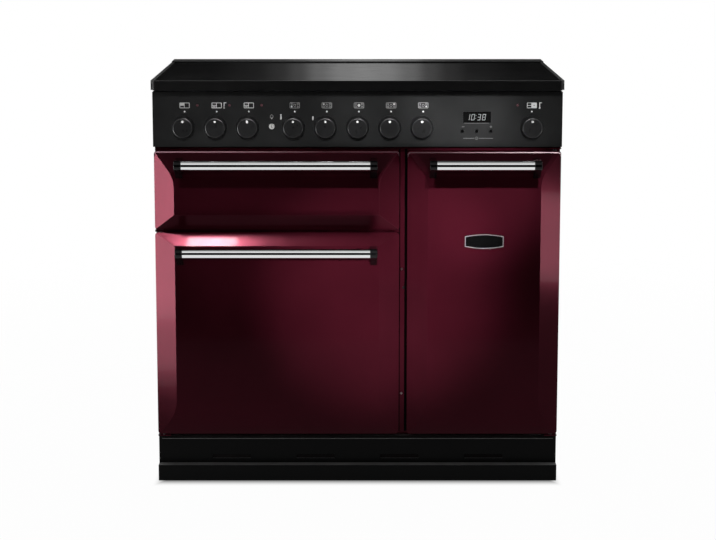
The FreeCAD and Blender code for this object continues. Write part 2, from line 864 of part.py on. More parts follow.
def plinth_panel():
    """A folded plinth: a lower front, a ledge, an upper face with four slots, and closed ends."""
    fold = size.casing_sheet
    upper = door_face + size.plinth_upper_setback
    lower = upper - size.plinth_ledge_depth
    bottom, ledge, top = size.plinth_clearance, size.plinth_ledge_height, size.plinth_height
    body = new_body("plinth_sheet")
    section = body_sketch(body, "plinth_section", "YZ_Plane", -half_width)
    draw_loop(section, [(lower, bottom), (lower + fold, bottom), (lower + fold, ledge - fold),
                        (upper + fold, ledge - fold), (upper + fold, top - fold),
                        (frame_face, top - fold), (frame_face, top), (upper, top), (upper, ledge),
                        (lower, ledge)])
    pad(body, section, 2 * half_width)
    slots = body_sketch(body, "plinth_slots", "XZ_Plane", upper - size.cut_overrun)
    first = -size.plinth_slot_pitch * (PLINTH_SLOT_COUNT - 1) / 2
    half = size.plinth_slot_width / 2
    draw_rectangle(slots, (first - half, first + half),
                   (size.plinth_slot_rise, size.plinth_slot_rise + size.plinth_slot_height))
    slot = pocket(body, slots, fold + 2 * size.cut_overrun)
    pattern(body, "PartDesign::LinearPattern", "plinth_slot_row", slot, (slots, ["H_Axis"]),
            PLINTH_SLOT_COUNT, None, size.plinth_slot_pitch * (PLINTH_SLOT_COUNT - 1))
    profile = [(lower, bottom), (frame_face, bottom), (frame_face, top), (upper, top), (upper, ledge),
               (lower, ledge)]
    left = prism("plinth_left_end", "YZ_Plane", (-half_width, fold - half_width), profile)
    right = prism("plinth_right_end", "YZ_Plane", (half_width - fold, half_width), profile)
    return fused("plinth_panel", [body, left, right])


# Cooking spaces


def oven_liner(space, fan):
    """A box liner open at the front, with a flange against the back of the front frame."""
    skin, flange = size.cavity_sheet, size.liner_flange
    name = f"{space.name}_liner"
    shell = block(f"{name}_shell", (space.left - skin, space.right + skin), (space.front, space.rear + skin),
                  (space.bottom - skin, space.top + skin))
    rim = block(f"{name}_rim", (space.left - flange, space.right + flange),
                (space.front, space.front + skin), (space.bottom - flange, space.top + flange))
    hollow = block(f"{name}_hollow", (space.left, space.right), (space.front - size.cut_overrun, space.rear),
                   (space.bottom, space.top))
    tools = [hollow]
    if fan:
        x, z = fan_centre(space)
        tools.append(rod(f"{name}_shaft_hole", "Y", size.fan_wall_hole_radius, x,
                         (space.rear - size.cut_overrun, space.rear + size.cut_overrun), z))
    return without(name, fused(f"{name}_blank", [shell, rim]), tools)


def grill_liner():
    """The grill liner with the two runners that carry the pan by its rim."""
    space = GRILL_CAVITY
    liner = oven_liner(space, fan=False)
    liner.Label = "grill_liner_box"
    z = (space.bottom + size.grill_runner_rise - size.grill_runner_thickness,
         space.bottom + size.grill_runner_rise)
    width = size.grill_runner_width
    y = (space.front + size.loose_clearance, space.rear)
    runners = [block("grill_runner_left", (space.left, space.left + width), y, z),
               block("grill_runner_right", (space.right - width, space.right), y, z)]
    return fused("grill_compartment_liner", [liner] + runners)


def insulation_wrap(space, fan):
    """Mineral wool round the outside of one liner, open at the front."""
    skin, wool = size.cavity_sheet, size.insulation_thickness
    name = f"{space.name}_wool"
    front = space.front + size.insulation_setback
    outer = block(f"{name}_blank", (space.left - skin - wool, space.right + skin + wool),
                  (front, space.rear + skin + wool), (space.bottom - skin - wool, space.top + skin + wool))
    tools = [block(f"{name}_hollow", (space.left - skin, space.right + skin),
                   (front - size.cut_overrun, space.rear + skin), (space.bottom - skin, space.top + skin))]
    if fan:
        x, z = fan_centre(space)
        tools.append(rod(f"{name}_motor_hole", "Y", size.motor_radius + size.motor_clearance, x,
                         (space.rear, space.rear + wool + size.cut_overrun), z))
    return without(name, outer, tools)


def insulation_wraps():
    wraps = [insulation_wrap(MAIN_CAVITY, True), insulation_wrap(TALL_CAVITY, True),
             insulation_wrap(GRILL_CAVITY, False)]
    return grouped("insulation_wraps", wraps)


def fan_centre(space):
    return space.centre, space.bottom + size.fan_rise


def rack_levels(space, count):
    return [space.bottom + size.rack_bottom_rise + size.rack_pitch * level for level in range(count)]


def shelf_rack(space, side, count):
    """One side rack: two upright strips on the wall with a rest for a shelf at each level."""
    name = f"{space.name}_{side}_rack"
    wall = space.left if side == "left" else space.right
    inward = 1 if side == "left" else -1
    levels = rack_levels(space, count)
    strip_top = levels[-1] + size.rack_strip_width
    strip_bottom = levels[0] - size.rack_strip_width

    def across(depth):
        low, high = wall, wall + depth * inward
        return (low, high) if inward > 0 else (high, low)

    parts = []
    front = space.front + size.rack_end_inset
    back = space.rear - size.fan_cover_depth - size.rack_end_inset
    for end, y in (("front", front), ("rear", back)):
        parts.append(block(f"{name}_{end}_strip", across(size.rack_strip_thickness),
                           (y, y + size.rack_strip_width), (strip_bottom, strip_top)))
    for number, level in enumerate(levels):
        parts.append(block(f"{name}_rest_{number}", across(size.rack_rest_width),
                           (front, back + size.rack_strip_width), (level - size.rack_rest_thickness, level)))
    return fused(name, parts)


def shelf_racks():
    racks = [shelf_rack(space, side, count)
             for space, count in ((MAIN_CAVITY, MAIN_RACK_LEVELS), (TALL_CAVITY, TALL_RACK_LEVELS))
             for side in ("left", "right")]
    return grouped("shelf_racks", racks)


def wire_grid(name, x, y, centre, wire_count, bar_radius, wire_radius):
    """A flat grid: a frame of four bars joined by wires that run front to back."""
    corners = [(end_x, end_y) for end_x in x for end_y in y]
    parts = [rod(f"{name}_{end}_bar", "X", bar_radius, x, place, centre)
             for end, place in (("front", y[0]), ("rear", y[1]))]
    parts += [rod(f"{name}_{end}_bar", "Y", bar_radius, place, y, centre)
              for end, place in (("left", x[0]), ("right", x[1]))]
    for number, (corner_x, corner_y) in enumerate(corners):
        ball = doc.addObject("Part::Sphere", f"{name}_corner_{number}")
        bind(ball, "Radius", bar_radius)
        bind_place(ball, corner_x, corner_y, centre)
        parts.append(ball)
    pitch = (x[1] - x[0]) / (wire_count + 1)
    parts += [rod(f"{name}_wire_{number}", "Y", wire_radius, x[0] + pitch * (number + 1), y, centre)
              for number in range(wire_count)]
    return parts


def oven_shelf(name, space, level, wire_count):
    """A wire shelf lying on the rack rests of one level."""
    reach = size.shelf_side_clearance + size.shelf_bar_radius
    front = space.front + size.shelf_front_inset
    centre = level + size.rest_clearance + size.shelf_bar_radius
    parts = wire_grid(name, (space.left + reach, space.right - reach), (front, front + size.shelf_depth),
                      centre, wire_count, size.shelf_bar_radius, size.shelf_wire_radius)
    return fused(name, parts)


def oven_shelves():
    main_levels = rack_levels(MAIN_CAVITY, MAIN_RACK_LEVELS)
    tall_levels = rack_levels(TALL_CAVITY, TALL_RACK_LEVELS)
    main = oven_shelf("main_oven_shelf", MAIN_CAVITY, main_levels[LOWER_SHELF_LEVEL_COUNT],
                      SHELF_WIRE_COUNT)
    tall = [oven_shelf(f"tall_oven_shelf_{place}", TALL_CAVITY, tall_levels[below], TALL_SHELF_WIRE_COUNT)
            for place, below in (("lower", LOWER_SHELF_LEVEL_COUNT),
                                 ("upper", UPPER_SHELF_LEVEL_COUNT))]
    return [main, grouped("tall_oven_shelves", tall)]


def pan_spans():
    """The sides and floor of the grill pan, hung by its rim between the runners."""
    space = GRILL_CAVITY
    reach = size.grill_runner_width + size.pan_side_clearance
    x = (space.left + reach, space.right - reach)
    front = space.front + size.pan_front_inset
    rim = space.bottom + size.grill_runner_rise + size.rest_clearance
    return x, (front, front + size.pan_length), (rim - size.pan_depth, rim)


def grill_pan():
    """A pressed pan with an outward rim, resting on the runners."""
    x, y, z = pan_spans()
    skin, rim = size.pan_sheet, size.pan_rim
    body = block("grill_pan_shell", x, y, (z[0], z[1] + skin))
    brim = block("grill_pan_brim", (x[0] - rim, x[1] + rim), (y[0], y[1]), (z[1], z[1] + skin))
    hollow = block("grill_pan_hollow", (x[0] + skin, x[1] - skin), (y[0] + skin, y[1] - skin),
                   (z[0] + skin, z[1] + size.cut_overrun))
    return without("grill_pan", fused("grill_pan_blank", [body, brim]), [hollow])


def grill_trivet():
    """A wire grid on four legs that stands in the grill pan."""
    pan_x, pan_y, pan_z = pan_spans()
    inset = size.trivet_inset + size.pan_sheet
    x = (pan_x[0] + inset, pan_x[1] - inset)
    y = (pan_y[0] + inset, pan_y[1] - inset)
    floor = pan_z[0] + size.pan_sheet
    centre = floor + size.trivet_rise
    parts = wire_grid("grill_trivet", x, y, centre, TRIVET_WIRE_COUNT, size.shelf_bar_radius,
                      size.shelf_wire_radius)
    for number, (leg_x, leg_y) in enumerate((a, b) for a in x for b in y):
        parts.append(rod(f"grill_trivet_leg_{number}", "Z", size.shelf_bar_radius, leg_x, leg_y,
                         (floor, centre)))
    return fused("grill_trivet", parts)


def grill_element():
    """A tube element bent to and fro under the grill's roof, both ends in the rear wall."""
    space = GRILL_CAVITY
    radius = size.element_tube_radius
    left = space.left + size.grill_element_inset
    z = space.top - size.grill_element_drop
    last_run = GRILL_ELEMENT_RUNS - 1
    pitch = (space.right - size.grill_element_inset - left) / last_run
    bend = pitch / 2
    front = space.front + size.grill_element_front_inset + bend
    back = front + size.grill_element_length
    parts = []
    for run in range(GRILL_ELEMENT_RUNS):
        end = space.rear if run in (0, last_run) else back
        parts.append(rod(f"grill_element_run_{run}", "Y", radius, left + pitch * run, (front, end), z))
    for turn in range(last_run):
        at_front = turn % 2 == 0
        half_turn = doc.addObject("Part::Torus", f"grill_element_turn_{turn}")
        half_turn.Placement = Placement(Vector(), Rotation(AXES["Z"], 180 if at_front else 0))
        half_turn.Angle3 = 180
        bind(half_turn, "Radius1", bend)
        bind(half_turn, "Radius2", radius)
        bind_place(half_turn, left + pitch * turn + bend, front if at_front else back, z)
        parts.append(half_turn)
    return fused("grill_element", parts)


def fan_element(space):
    """A ring element round the oven fan, with two legs into the rear wall."""
    name = f"{space.name}_fan_element"
    x, z = fan_centre(space)
    y = space.rear - size.ring_element_setback
    ring = doc.addObject("Part::Torus", f"{name}_ring")
    ring.Placement = Placement(Vector(), ROD_ROTATIONS["Y"])
    bind(ring, "Radius1", size.ring_element_radius)
    bind(ring, "Radius2", size.element_tube_radius)
    bind_place(ring, x, y, z)
    legs = [rod(f"{name}_{end}_leg", "Y", size.element_tube_radius, x + size.ring_leg_spacing / 2 * side,
                (y, space.rear), z - size.ring_element_radius) for end, side in (("left", -1), ("right", 1))]
    return fused(name, [ring] + legs)


def heating_elements():
    return grouped("heating_elements", [grill_element(), fan_element(MAIN_CAVITY), fan_element(TALL_CAVITY)])


def fan_cover(space):
    """The baffle over an oven fan: a shallow box on the rear wall with a ring of suction holes."""
    name = f"{space.name}_fan_cover"
    x, z = fan_centre(space)
    half, skin = size.fan_cover_half_width, size.cavity_sheet
    front = space.rear - size.fan_cover_depth
    body = new_body(name)
    blank = body_sketch(body, f"{name}_blank", "XY_Plane")
    draw_rectangle(blank, (-half, half), (-half, half))
    pad(body, blank, size.fan_cover_depth)
    hollow = body_sketch(body, f"{name}_hollow", "XY_Plane", -size.cut_overrun)
    draw_rectangle(hollow, (skin - half, half - skin), (skin - half, half - skin))
    pocket(body, hollow, size.fan_cover_depth - skin + size.cut_overrun, backwards=True)
    hole = body_sketch(body, f"{name}_hole", "XY_Plane", -size.cut_overrun)
    draw_circle(hole, (size.fan_cover_hole_circle, 0), size.fan_cover_hole_radius)
    cut = pocket(body, hole, size.fan_cover_depth + 2 * size.cut_overrun, backwards=True)
    pattern(body, "PartDesign::PolarPattern", f"{name}_holes", cut, (hole, ["N_Axis"]),
            FAN_COVER_HOLE_COUNT, 360)
    body.Placement = Placement(Vector(), FACING_FRONT)
    bind_place(body, x, front + size.fan_cover_depth, z)
    return body


def fan_covers():
    return grouped("fan_covers", [fan_cover(MAIN_CAVITY), fan_cover(TALL_CAVITY)])


def oven_fan(label, space):
    """A paddle fan on its shaft: a disc, a hub and blades, all in front of the rear wall."""
    x, z = fan_centre(space)
    body = new_body(label)
    disc = body_sketch(body, f"{label}_disc", "XY_Plane")
    draw_circle(disc, (0, 0), size.fan_disc_radius)
    pad(body, disc, size.fan_disc_thickness)
    hub = body_sketch(body, f"{label}_hub", "XY_Plane")
    draw_circle(hub, (0, 0), size.fan_hub_radius)
    pad(body, hub, size.fan_blade_height)
    blade = body_sketch(body, f"{label}_blade", "XY_Plane")
    half = size.fan_blade_thickness / 2
    draw_rectangle(blade, (size.fan_blade_inner, size.fan_blade_outer), (-half, half))
    fin = pad(body, blade, size.fan_blade_height)
    pattern(body, "PartDesign::PolarPattern", f"{label}_blades", fin, (blade, ["N_Axis"]),
            FAN_BLADE_COUNT, 360)
    shaft = body_sketch(body, f"{label}_shaft", "XY_Plane")
    draw_circle(shaft, (0, 0), size.fan_shaft_radius)
    pad(body, shaft, size.fan_shaft_length, backwards=True)
    body.Placement = Placement(Vector(), FACING_FRONT)
    bind_place(body, x, space.rear - size.fan_wall_gap, z)
    return body


def fan_motor(space):
    """The motor behind an oven's rear wall, with the bore that the fan's shaft runs in."""
    name = f"{space.name}_fan_motor"
    x, z = fan_centre(space)
    front = space.rear + size.cavity_sheet
    case = rod(f"{name}_case", "Y", size.motor_radius, x, (front, front + size.motor_length), z)
    bore = rod(f"{name}_bore", "Y", size.fan_shaft_radius + size.running_clearance, x,
               (front - size.cut_overrun, front + size.fan_shaft_length), z)
    return without(name, case, [bore])


def oven_lamp(space):
    x = space.right - size.lamp_side_inset
    z = space.top - size.lamp_drop
    return rod(f"{space.name}_lamp", "Y", size.lamp_radius, x, (space.rear - size.lamp_height, space.rear), z)


def door_gasket(space):
    """A square gasket round an oven's opening, a little clear of the closed door."""
    name = f"{space.name}_gasket"
    near = size.gasket_inset
    far = near + size.gasket_width
    y = (door_back + size.rest_clearance, frame_face)
    ring = block(f"{name}_blank", (space.left - far, space.right + far), y,
                 (space.bottom - far, space.top + far))
    window = block(f"{name}_window", (space.left - near, space.right + near),
                   (y[0] - size.cut_overrun, y[1] + size.cut_overrun),
                   (space.bottom - near, space.top + near))
    return without(name, ring, [window])


# Doors


def door_solid(leaf, name, inset):
    """The pressed shape of a door, or its hollow when the inset is a skin's thickness."""
    bottom, top = leaf.bottom + inset, leaf.top - inset
    left, right = leaf.left + inset, leaf.right - inset
    back, edge, face = return_back - inset, door_edge + inset, door_face + inset
    bevel = size.door_bevel_depth
    side_points = [(back, bottom), (edge, bottom), (face, leaf.bottom + leaf.bottom_rise),
                   (face, leaf.top - leaf.top_drop), (edge, top), (back, top)]
    arcs = {}
    if leaf.rolled:
        rise = leaf.bottom_rise - inset
        arcs[1] = (rise * rise + bevel * bevel) / (2 * bevel)
    if leaf.bowed:
        curve_height = leaf.top_drop * SLOPE_CURVE_HEIGHT_SHARE
        curve_depth = bevel * SLOPE_CURVE_DEPTH_SHARE
        side_points.insert(4, (face + curve_depth, leaf.top - leaf.top_drop + curve_height))
        arcs[3] = (curve_height * curve_height + curve_depth * curve_depth) / (2 * curve_depth)
    side = prism(f"{name}_side_view", "YZ_Plane", (left, right), side_points, arcs)
    plan_points = [(left, back), (left, edge), (leaf.left + size.door_side_bevel, face),
                   (leaf.right - size.door_side_bevel, face), (right, edge), (right, back)]
    plan = prism(f"{name}_plan", "XY_Plane", (bottom, top), plan_points)
    corner = size.door_corner_radius - inset
    front_points = [(left + corner, bottom), (right - corner, bottom), (right, bottom + corner),
                    (right, top - corner), (right - corner, top), (left + corner, top),
                    (left, top - corner), (left, bottom + corner)]
    corner_arcs = {number: corner for number in (1, 3, 5, 7)}
    front = prism(f"{name}_front_view", "XZ_Plane", (face, back), front_points, corner_arcs)
    return common(name, common(f"{name}_sections", side, plan), front)


def pivot_block_span(leaf):
    start, width = size.pivot_block_inset, size.pivot_block_width
    if leaf.hinge_side == "left":
        return leaf.left + start, leaf.left + start + width
    return leaf.right - start - width, leaf.right - start


def pivot_block_heights(leaf, end):
    """The low and high face of the block inside one end of a side-hung door."""
    skin = size.door_skin + size.rest_clearance
    if end == "top":
        return leaf.top - skin - size.pivot_block_height, leaf.top - skin
    return leaf.bottom + skin, leaf.bottom + skin + size.pivot_block_height


def pivot_pin(leaf, end):
    """A hinge pin from inside the door through the pivot plate beyond its edge."""
    block_low, block_high = pivot_block_heights(leaf, end)
    plate = pivot_plate_level(leaf, end)
    span = (block_high, plate + size.pivot_plate_thickness) if end == "top" else (plate, block_low)
    return rod(f"{leaf.name}_{end}_pin", "Z", size.pivot_pin_radius, pivot_x(leaf), pivot_depth, span)


def grill_cheek_spans(side):
    """The two cheeks beside a grill hinge ear, as low and high places across the width."""
    x = grill_ear_x(side)
    near = size.grill_ear_thickness / 2 + size.loose_clearance
    far = near + size.grill_cheek_thickness
    return (x - far, x - near), (x + near, x + far)


def door_outer(leaf):
    """A door's pressed outer panel with a return all round and an open back."""
    name = f"{leaf.name}_outer"
    skin, flange, over = size.door_skin, size.door_back_flange, size.cut_overrun
    outer = door_solid(leaf, f"{name}_blank", as_size(0))
    tools = [door_solid(leaf, f"{name}_hollow", skin)]
    tools.append(block(f"{name}_back_window", (leaf.left + flange, leaf.right - flange),
                       (return_back - skin - over, return_back + over),
                       (leaf.bottom + flange, leaf.top - flange)))
    slack = size.loose_clearance
    back = (return_back - skin - slack, return_back + over)
    if leaf.hinge_side:
        low, high = pivot_block_span(leaf)
        for end in ("top", "bottom"):
            block_z = pivot_block_heights(leaf, end)
            tools.append(block(f"{name}_{end}_notch", (low - slack, high + slack), back,
                               (block_z[0] - slack, block_z[1] + skin)))
            plate = pivot_plate_level(leaf, end)
            reach = (block_z[0], plate) if end == "top" else (plate, block_z[1])
            tools.append(rod(f"{name}_{end}_pin_hole", "Z", size.pivot_pin_radius + size.hole_clearance,
                             pivot_x(leaf), pivot_depth, reach))
    else:
        for side in ("left", "right"):
            first, last = grill_cheek_spans(side)
            tools.append(block(f"{name}_{side}_notch", (first[0] - slack, last[1] + slack), back,
                               (leaf.bottom + skin, grill_axis_height + size.grill_cheek_rise + slack)))
    return without(name, outer, tools)


def door_inner(leaf):
    """A door's inner pan with its hinge pins and the blocks or cheeks that hold them."""
    name = f"{leaf.name}_inner"
    inset, skin = size.door_liner_inset, size.door_skin
    x = (leaf.left + inset, leaf.right - inset)
    z = (leaf.bottom + inset, leaf.top - inset)
    pan = block(f"{name}_blank", x, (return_back, door_back), z)
    hollow = block(f"{name}_hollow", (x[0] + skin, x[1] - skin),
                   (return_back - size.cut_overrun, door_back - skin), (z[0] + skin, z[1] - skin))
    parts, slots = [], [hollow]
    if leaf.hinge_side:
        span = pivot_block_span(leaf)
        for end in ("top", "bottom"):
            block_z = pivot_block_heights(leaf, end)
            parts.append(block(f"{name}_{end}_block", span,
                               (door_edge + skin + size.rest_clearance, door_back - skin), block_z))
            parts.append(pivot_pin(leaf, end))
    else:
        for side in ("left", "right"):
            parts += grill_hinge_cheeks(side, name)
            slots.append(grill_ear_slot(side, name))
    shell = without(f"{name}_shell", pan, slots)
    return fused(name, [shell] + parts)


def grill_hinge_cheeks(side, name):
    """Two cheeks and the pin that a grill hinge ear turns on."""
    y = (door_edge - size.grill_cheek_reach, door_back - size.door_skin)
    z = (grill_axis_height - size.grill_cheek_drop, grill_axis_height + size.grill_cheek_rise)
    spans = grill_cheek_spans(side)
    cheeks = [block(f"{name}_{side}_cheek_{number}", span, y, z) for number, span in enumerate(spans)]
    pin = rod(f"{name}_{side}_pin", "X", size.grill_pin_radius, (spans[0][0], spans[1][1]), door_edge,
              grill_axis_height)
    return cheeks + [pin]


def grill_ear_slot(side, name):
    """The slot in the inner pan that the hinge ear swings through."""
    x = grill_ear_x(side)
    half = size.grill_ear_thickness / 2 + size.loose_clearance
    top = grill_axis_height + size.grill_ear_rise + size.grill_ear_width + 2 * size.loose_clearance
    return block(f"{name}_{side}_slot", (x - half, x + half),
                 (return_back - size.cut_overrun, door_back + size.cut_overrun),
                 (GRILL_DOOR.bottom - size.cut_overrun, top))


def handle(leaf, bar_label, ends_label, span, drop):
    """A round bar between two end brackets that reach back and down to the door's face."""
    centre = middle(leaf.left, leaf.right)
    z = leaf.top - drop
    low, high = centre - span / 2, centre + span / 2
    radius = size.handle_radius
    bar_piece = rod(bar_label, "X", radius, (low, high), bar_axis, z)
    brackets = []
    blank = door_solid(leaf, f"{leaf.name}_handle_seat", as_size(0))
    width = size.handle_end_width
    for name, x in (("left", (low - width, low)), ("right", (high, high + width))):
        nose = rod(f"{ends_label}_{name}_nose", "X", radius, x, bar_axis, z)
        leg_points = [(bar_axis, z - radius), (door_edge, z - radius - size.handle_foot_drop),
                      (door_edge, z + radius), (bar_axis, z + radius)]
        leg = prism(f"{ends_label}_{name}_leg", "YZ_Plane", x, leg_points)
        whole = fused(f"{ends_label}_{name}_blank", [nose, leg])
        brackets.append(without(f"{ends_label}_{name}", whole, [blank]))
    return [bar_piece, grouped(ends_label, brackets)]


def badge_plate():
    """A bare plate on the tall door: upright ends, and top and bottom edges bowed outward."""
    body = new_body("badge_plate")
    x = middle(TALL_DOOR.left, TALL_DOOR.right)
    z = TALL_DOOR.top - size.badge_drop
    half, low = size.badge_width / 2, size.badge_side_height / 2
    bow = (size.badge_height - size.badge_side_height) / 2
    radius = (half * half + bow * bow) / (2 * bow)
    outline = body_sketch(body, "badge_outline", "XZ_Plane", door_face)
    draw_loop(outline, [(x - half, z - low), (x + half, z - low), (x + half, z + low), (x - half, z + low)],
              arcs={0: radius, 2: radius})
    pad(body, outline, size.badge_thickness)
    return body


# Control panel


knob_level = panel_bottom + size.knob_height


def knob_places():
    """Every knob's node name and its place across the panel."""
    first = size.oven_knob_inset - half_width
    pitch = half_width * KNOB_PITCH_SHARE
    names = ("grill_knob", "main_oven_thermostat_knob", "main_oven_function_knob")
    places = [(name, first + pitch * number) for number, name in enumerate(names)]
    hob_names = ("hob_knob_front_left", "hob_knob_rear_left", "hob_knob_centre", "hob_knob_rear_right",
                 "hob_knob_front_right")
    middle_knob = (HOB_KNOB_COUNT - 1) / 2
    places += [(name, pitch * (number - middle_knob)) for number, name in enumerate(hob_names)]
    return places + [("tall_oven_thermostat_knob", -first)]


def neon_places():
    """Lamps beside the three oven knobs on the left and the one on the right."""
    knobs = [x for _, x in knob_places()]
    places = [x + size.neon_offset for x in knobs[:3]]
    return places + [knobs[-1] - size.neon_offset]


def light_button_x():
    places = dict(knob_places())
    near, far = places["main_oven_function_knob"], places["hob_knob_front_left"]
    return near + (far - near) * LIGHT_BUTTON_SHARE


def clock_x():
    places = dict(knob_places())
    return middle(places["hob_knob_front_right"], places["tall_oven_thermostat_knob"])


def clock_button_places():
    level = panel_bottom + size.clock_button_rise
    return [(f"clock_button_{name}", clock_x() + size.clock_button_pitch * step, level)
            for name, step in (("minus", -1), ("select", 0), ("plus", 1))]


def clock_window():
    centre = panel_bottom + size.clock_window_rise
    half_x, half_z = size.clock_window_width / 2, size.clock_window_height / 2
    return (clock_x() - half_x, clock_x() + half_x), (centre - half_z, centre + half_z)


def control_panel():
    """A shallow folded box, open at the back, with holes for spindles, lamps, buttons and the clock."""
    fold, over = size.casing_sheet, size.cut_overrun
    outer = block("control_panel_blank", (-half_width, half_width), (panel_front, frame_back),
                  (panel_bottom, panel_top))
    hollow = block("control_panel_hollow", (-casing_inside, casing_inside), (panel_back, frame_back + over),
                   (panel_bottom + fold, panel_top - fold))
    y = (panel_front - over, panel_back + over)
    tools = [hollow]
    tools += [rod(f"{name}_spindle_hole", "Y", size.spindle_hole_radius, x, y, knob_level)
              for name, x in knob_places()]
    lamp_level = panel_bottom + size.knob_height + size.neon_rise
    tools += [rod(f"neon_hole_{number}", "Y", size.neon_radius + size.snug_clearance, x, y, lamp_level)
              for number, x in enumerate(neon_places())]
    tools.append(rod("light_button_hole", "Y", size.light_button_radius + size.hole_clearance,
                     light_button_x(), y, knob_level + size.light_button_rise))
    tools += [rod(f"{name}_hole", "Y", size.clock_button_radius + size.hole_clearance, x, y, z)
              for name, x, z in clock_button_places()]
    window_x, window_z = clock_window()
    tools.append(block("clock_window_cut", window_x, y, window_z))
    return without("control_panel", outer, tools)


def knob(label, x):
    """A round knob with a skirt, a waisted grip, a pointer dimple and its spindle behind."""
    body = new_body(label)
    skirt, waist, length = size.knob_radius, size.knob_waist_radius, size.knob_length
    low, rim = size.knob_skirt_height, size.knob_rim_round
    section = body_sketch(body, f"{label}_section", "XZ_Plane")
    draw_loop(section, [(0, 0), (skirt, 0), (skirt, low), (waist, length - rim), (waist - rim, length),
                        (0, length)],
              arcs={3: rim})
    revolved(body, section)
    dot = body_sketch(body, f"{label}_dot", "XY_Plane", length - size.knob_dot_depth)
    draw_circle(dot, (0, waist - size.knob_dot_inset), size.knob_dot_radius)
    pocket(body, dot, size.knob_dot_depth + size.cut_overrun, backwards=True)
    spindle = body_sketch(body, f"{label}_spindle", "XY_Plane")
    draw_circle(spindle, (0, 0), size.spindle_radius)
    pad(body, spindle, size.spindle_length, backwards=True)
    body.Placement = Placement(Vector(), FACING_FRONT)
    bind_place(body, x, panel_front - size.loose_clearance, knob_level)
    return body


def control_switches():
    """The switch block behind each knob, bored for its spindle, and the light button's switch."""
    half = size.switch_size / 2
    y = (panel_back, panel_back + size.switch_depth)
    bore_end = panel_front - size.loose_clearance + size.spindle_length + size.loose_clearance
    switches = []
    for name, x in knob_places():
        case = block(f"{name}_switch_case", (x - half, x + half), y, (knob_level - half, knob_level + half))
        bore = rod(f"{name}_switch_bore", "Y", size.spindle_radius + size.running_clearance, x,
                   (y[0] - size.cut_overrun, bore_end), knob_level)
        switches.append(without(f"{name}_switch", case, [bore]))
    switches.append(light_switch())
    return grouped("control_switches", switches)


def button_bore_end(cap_back):
    return cap_back + size.button_stem_length + size.button_travel + size.loose_clearance


def light_switch():
    """The push switch that the light button's stem works."""
    x, z = light_button_x(), knob_level + size.light_button_rise
    half = size.light_switch_size / 2
    front = panel_back
    case = block("light_switch_case", (x - half, x + half), (front, front + size.light_switch_depth),
                 (z - half, z + half))
    cap_back = panel_front - size.light_button_proud + size.button_cap_depth
    well = rod("light_switch_well", "Y", size.light_button_radius + size.hole_clearance, x,
               (front - size.cut_overrun, cap_back + size.button_travel + size.loose_clearance), z)
    bore = rod("light_switch_bore", "Y", size.button_stem_radius + size.running_clearance, x,
               (front, button_bore_end(cap_back)), z)
    return without("light_switch", case, [well, bore])


def push_button(label, x, z, radius, proud):
    """A round cap through the panel with a thinner stem behind it."""
    body = new_body(label)
    cap = body_sketch(body, f"{label}_cap", "XY_Plane")
    draw_circle(cap, (0, 0), radius)
    pad(body, cap, size.button_cap_depth)
    stem = body_sketch(body, f"{label}_stem", "XY_Plane")
    draw_circle(stem, (0, 0), size.button_stem_radius)
    pad(body, stem, size.button_stem_length, backwards=True)
    body.Placement = Placement(Vector(), FACING_FRONT)
    bind_place(body, x, panel_front - proud + size.button_cap_depth, z)
    return body


def clock_module():
    """The clock's case behind the panel, its display block in the window and three button wells."""
    window_x, window_z = clock_window()
    half = size.clock_case_width / 2
    level = panel_bottom + size.clock_button_rise
    margin = size.clock_case_margin
    case = block("clock_case", (clock_x() - half, clock_x() + half),
                 (panel_back, panel_back + size.clock_case_depth), (level - margin, window_z[1] + margin))
    slack = size.hole_clearance
    display = block("clock_display", (window_x[0] + slack, window_x[1] - slack), (panel_front, panel_back),
                    (window_z[0] + slack, window_z[1] - slack))
    cap_back = panel_front - size.clock_button_proud + size.button_cap_depth
    tools = []
    for name, x, z in clock_button_places():
        tools.append(rod(f"{name}_well", "Y", size.clock_button_radius + slack, x,
                         (panel_back - size.cut_overrun,
                          cap_back + size.button_travel + size.loose_clearance), z))
        tools.append(rod(f"{name}_bore", "Y", size.button_stem_radius + size.running_clearance, x,
                         (panel_back, button_bore_end(cap_back)), z))
    return without("clock_module", fused("clock_blank", [case, display]), tools)


def neon_lamps():
    level = knob_level + size.neon_rise
    y = (panel_front - size.neon_proud, panel_front - size.neon_proud + size.neon_length)
    lamps = [rod(f"neon_lamp_{number}", "Y", size.neon_radius, x, y, level)
             for number, x in enumerate(neon_places())]
    return grouped("neon_lamps", lamps)


# Hob


def glass_span():
    """The glass between the rims of the hob frame, front of the raised rear trim."""
    reach = hob_half_width - size.hob_rim_width
    return (-reach, reach), (hob_front + size.hob_rim_width, rear - size.hob_trim_depth)


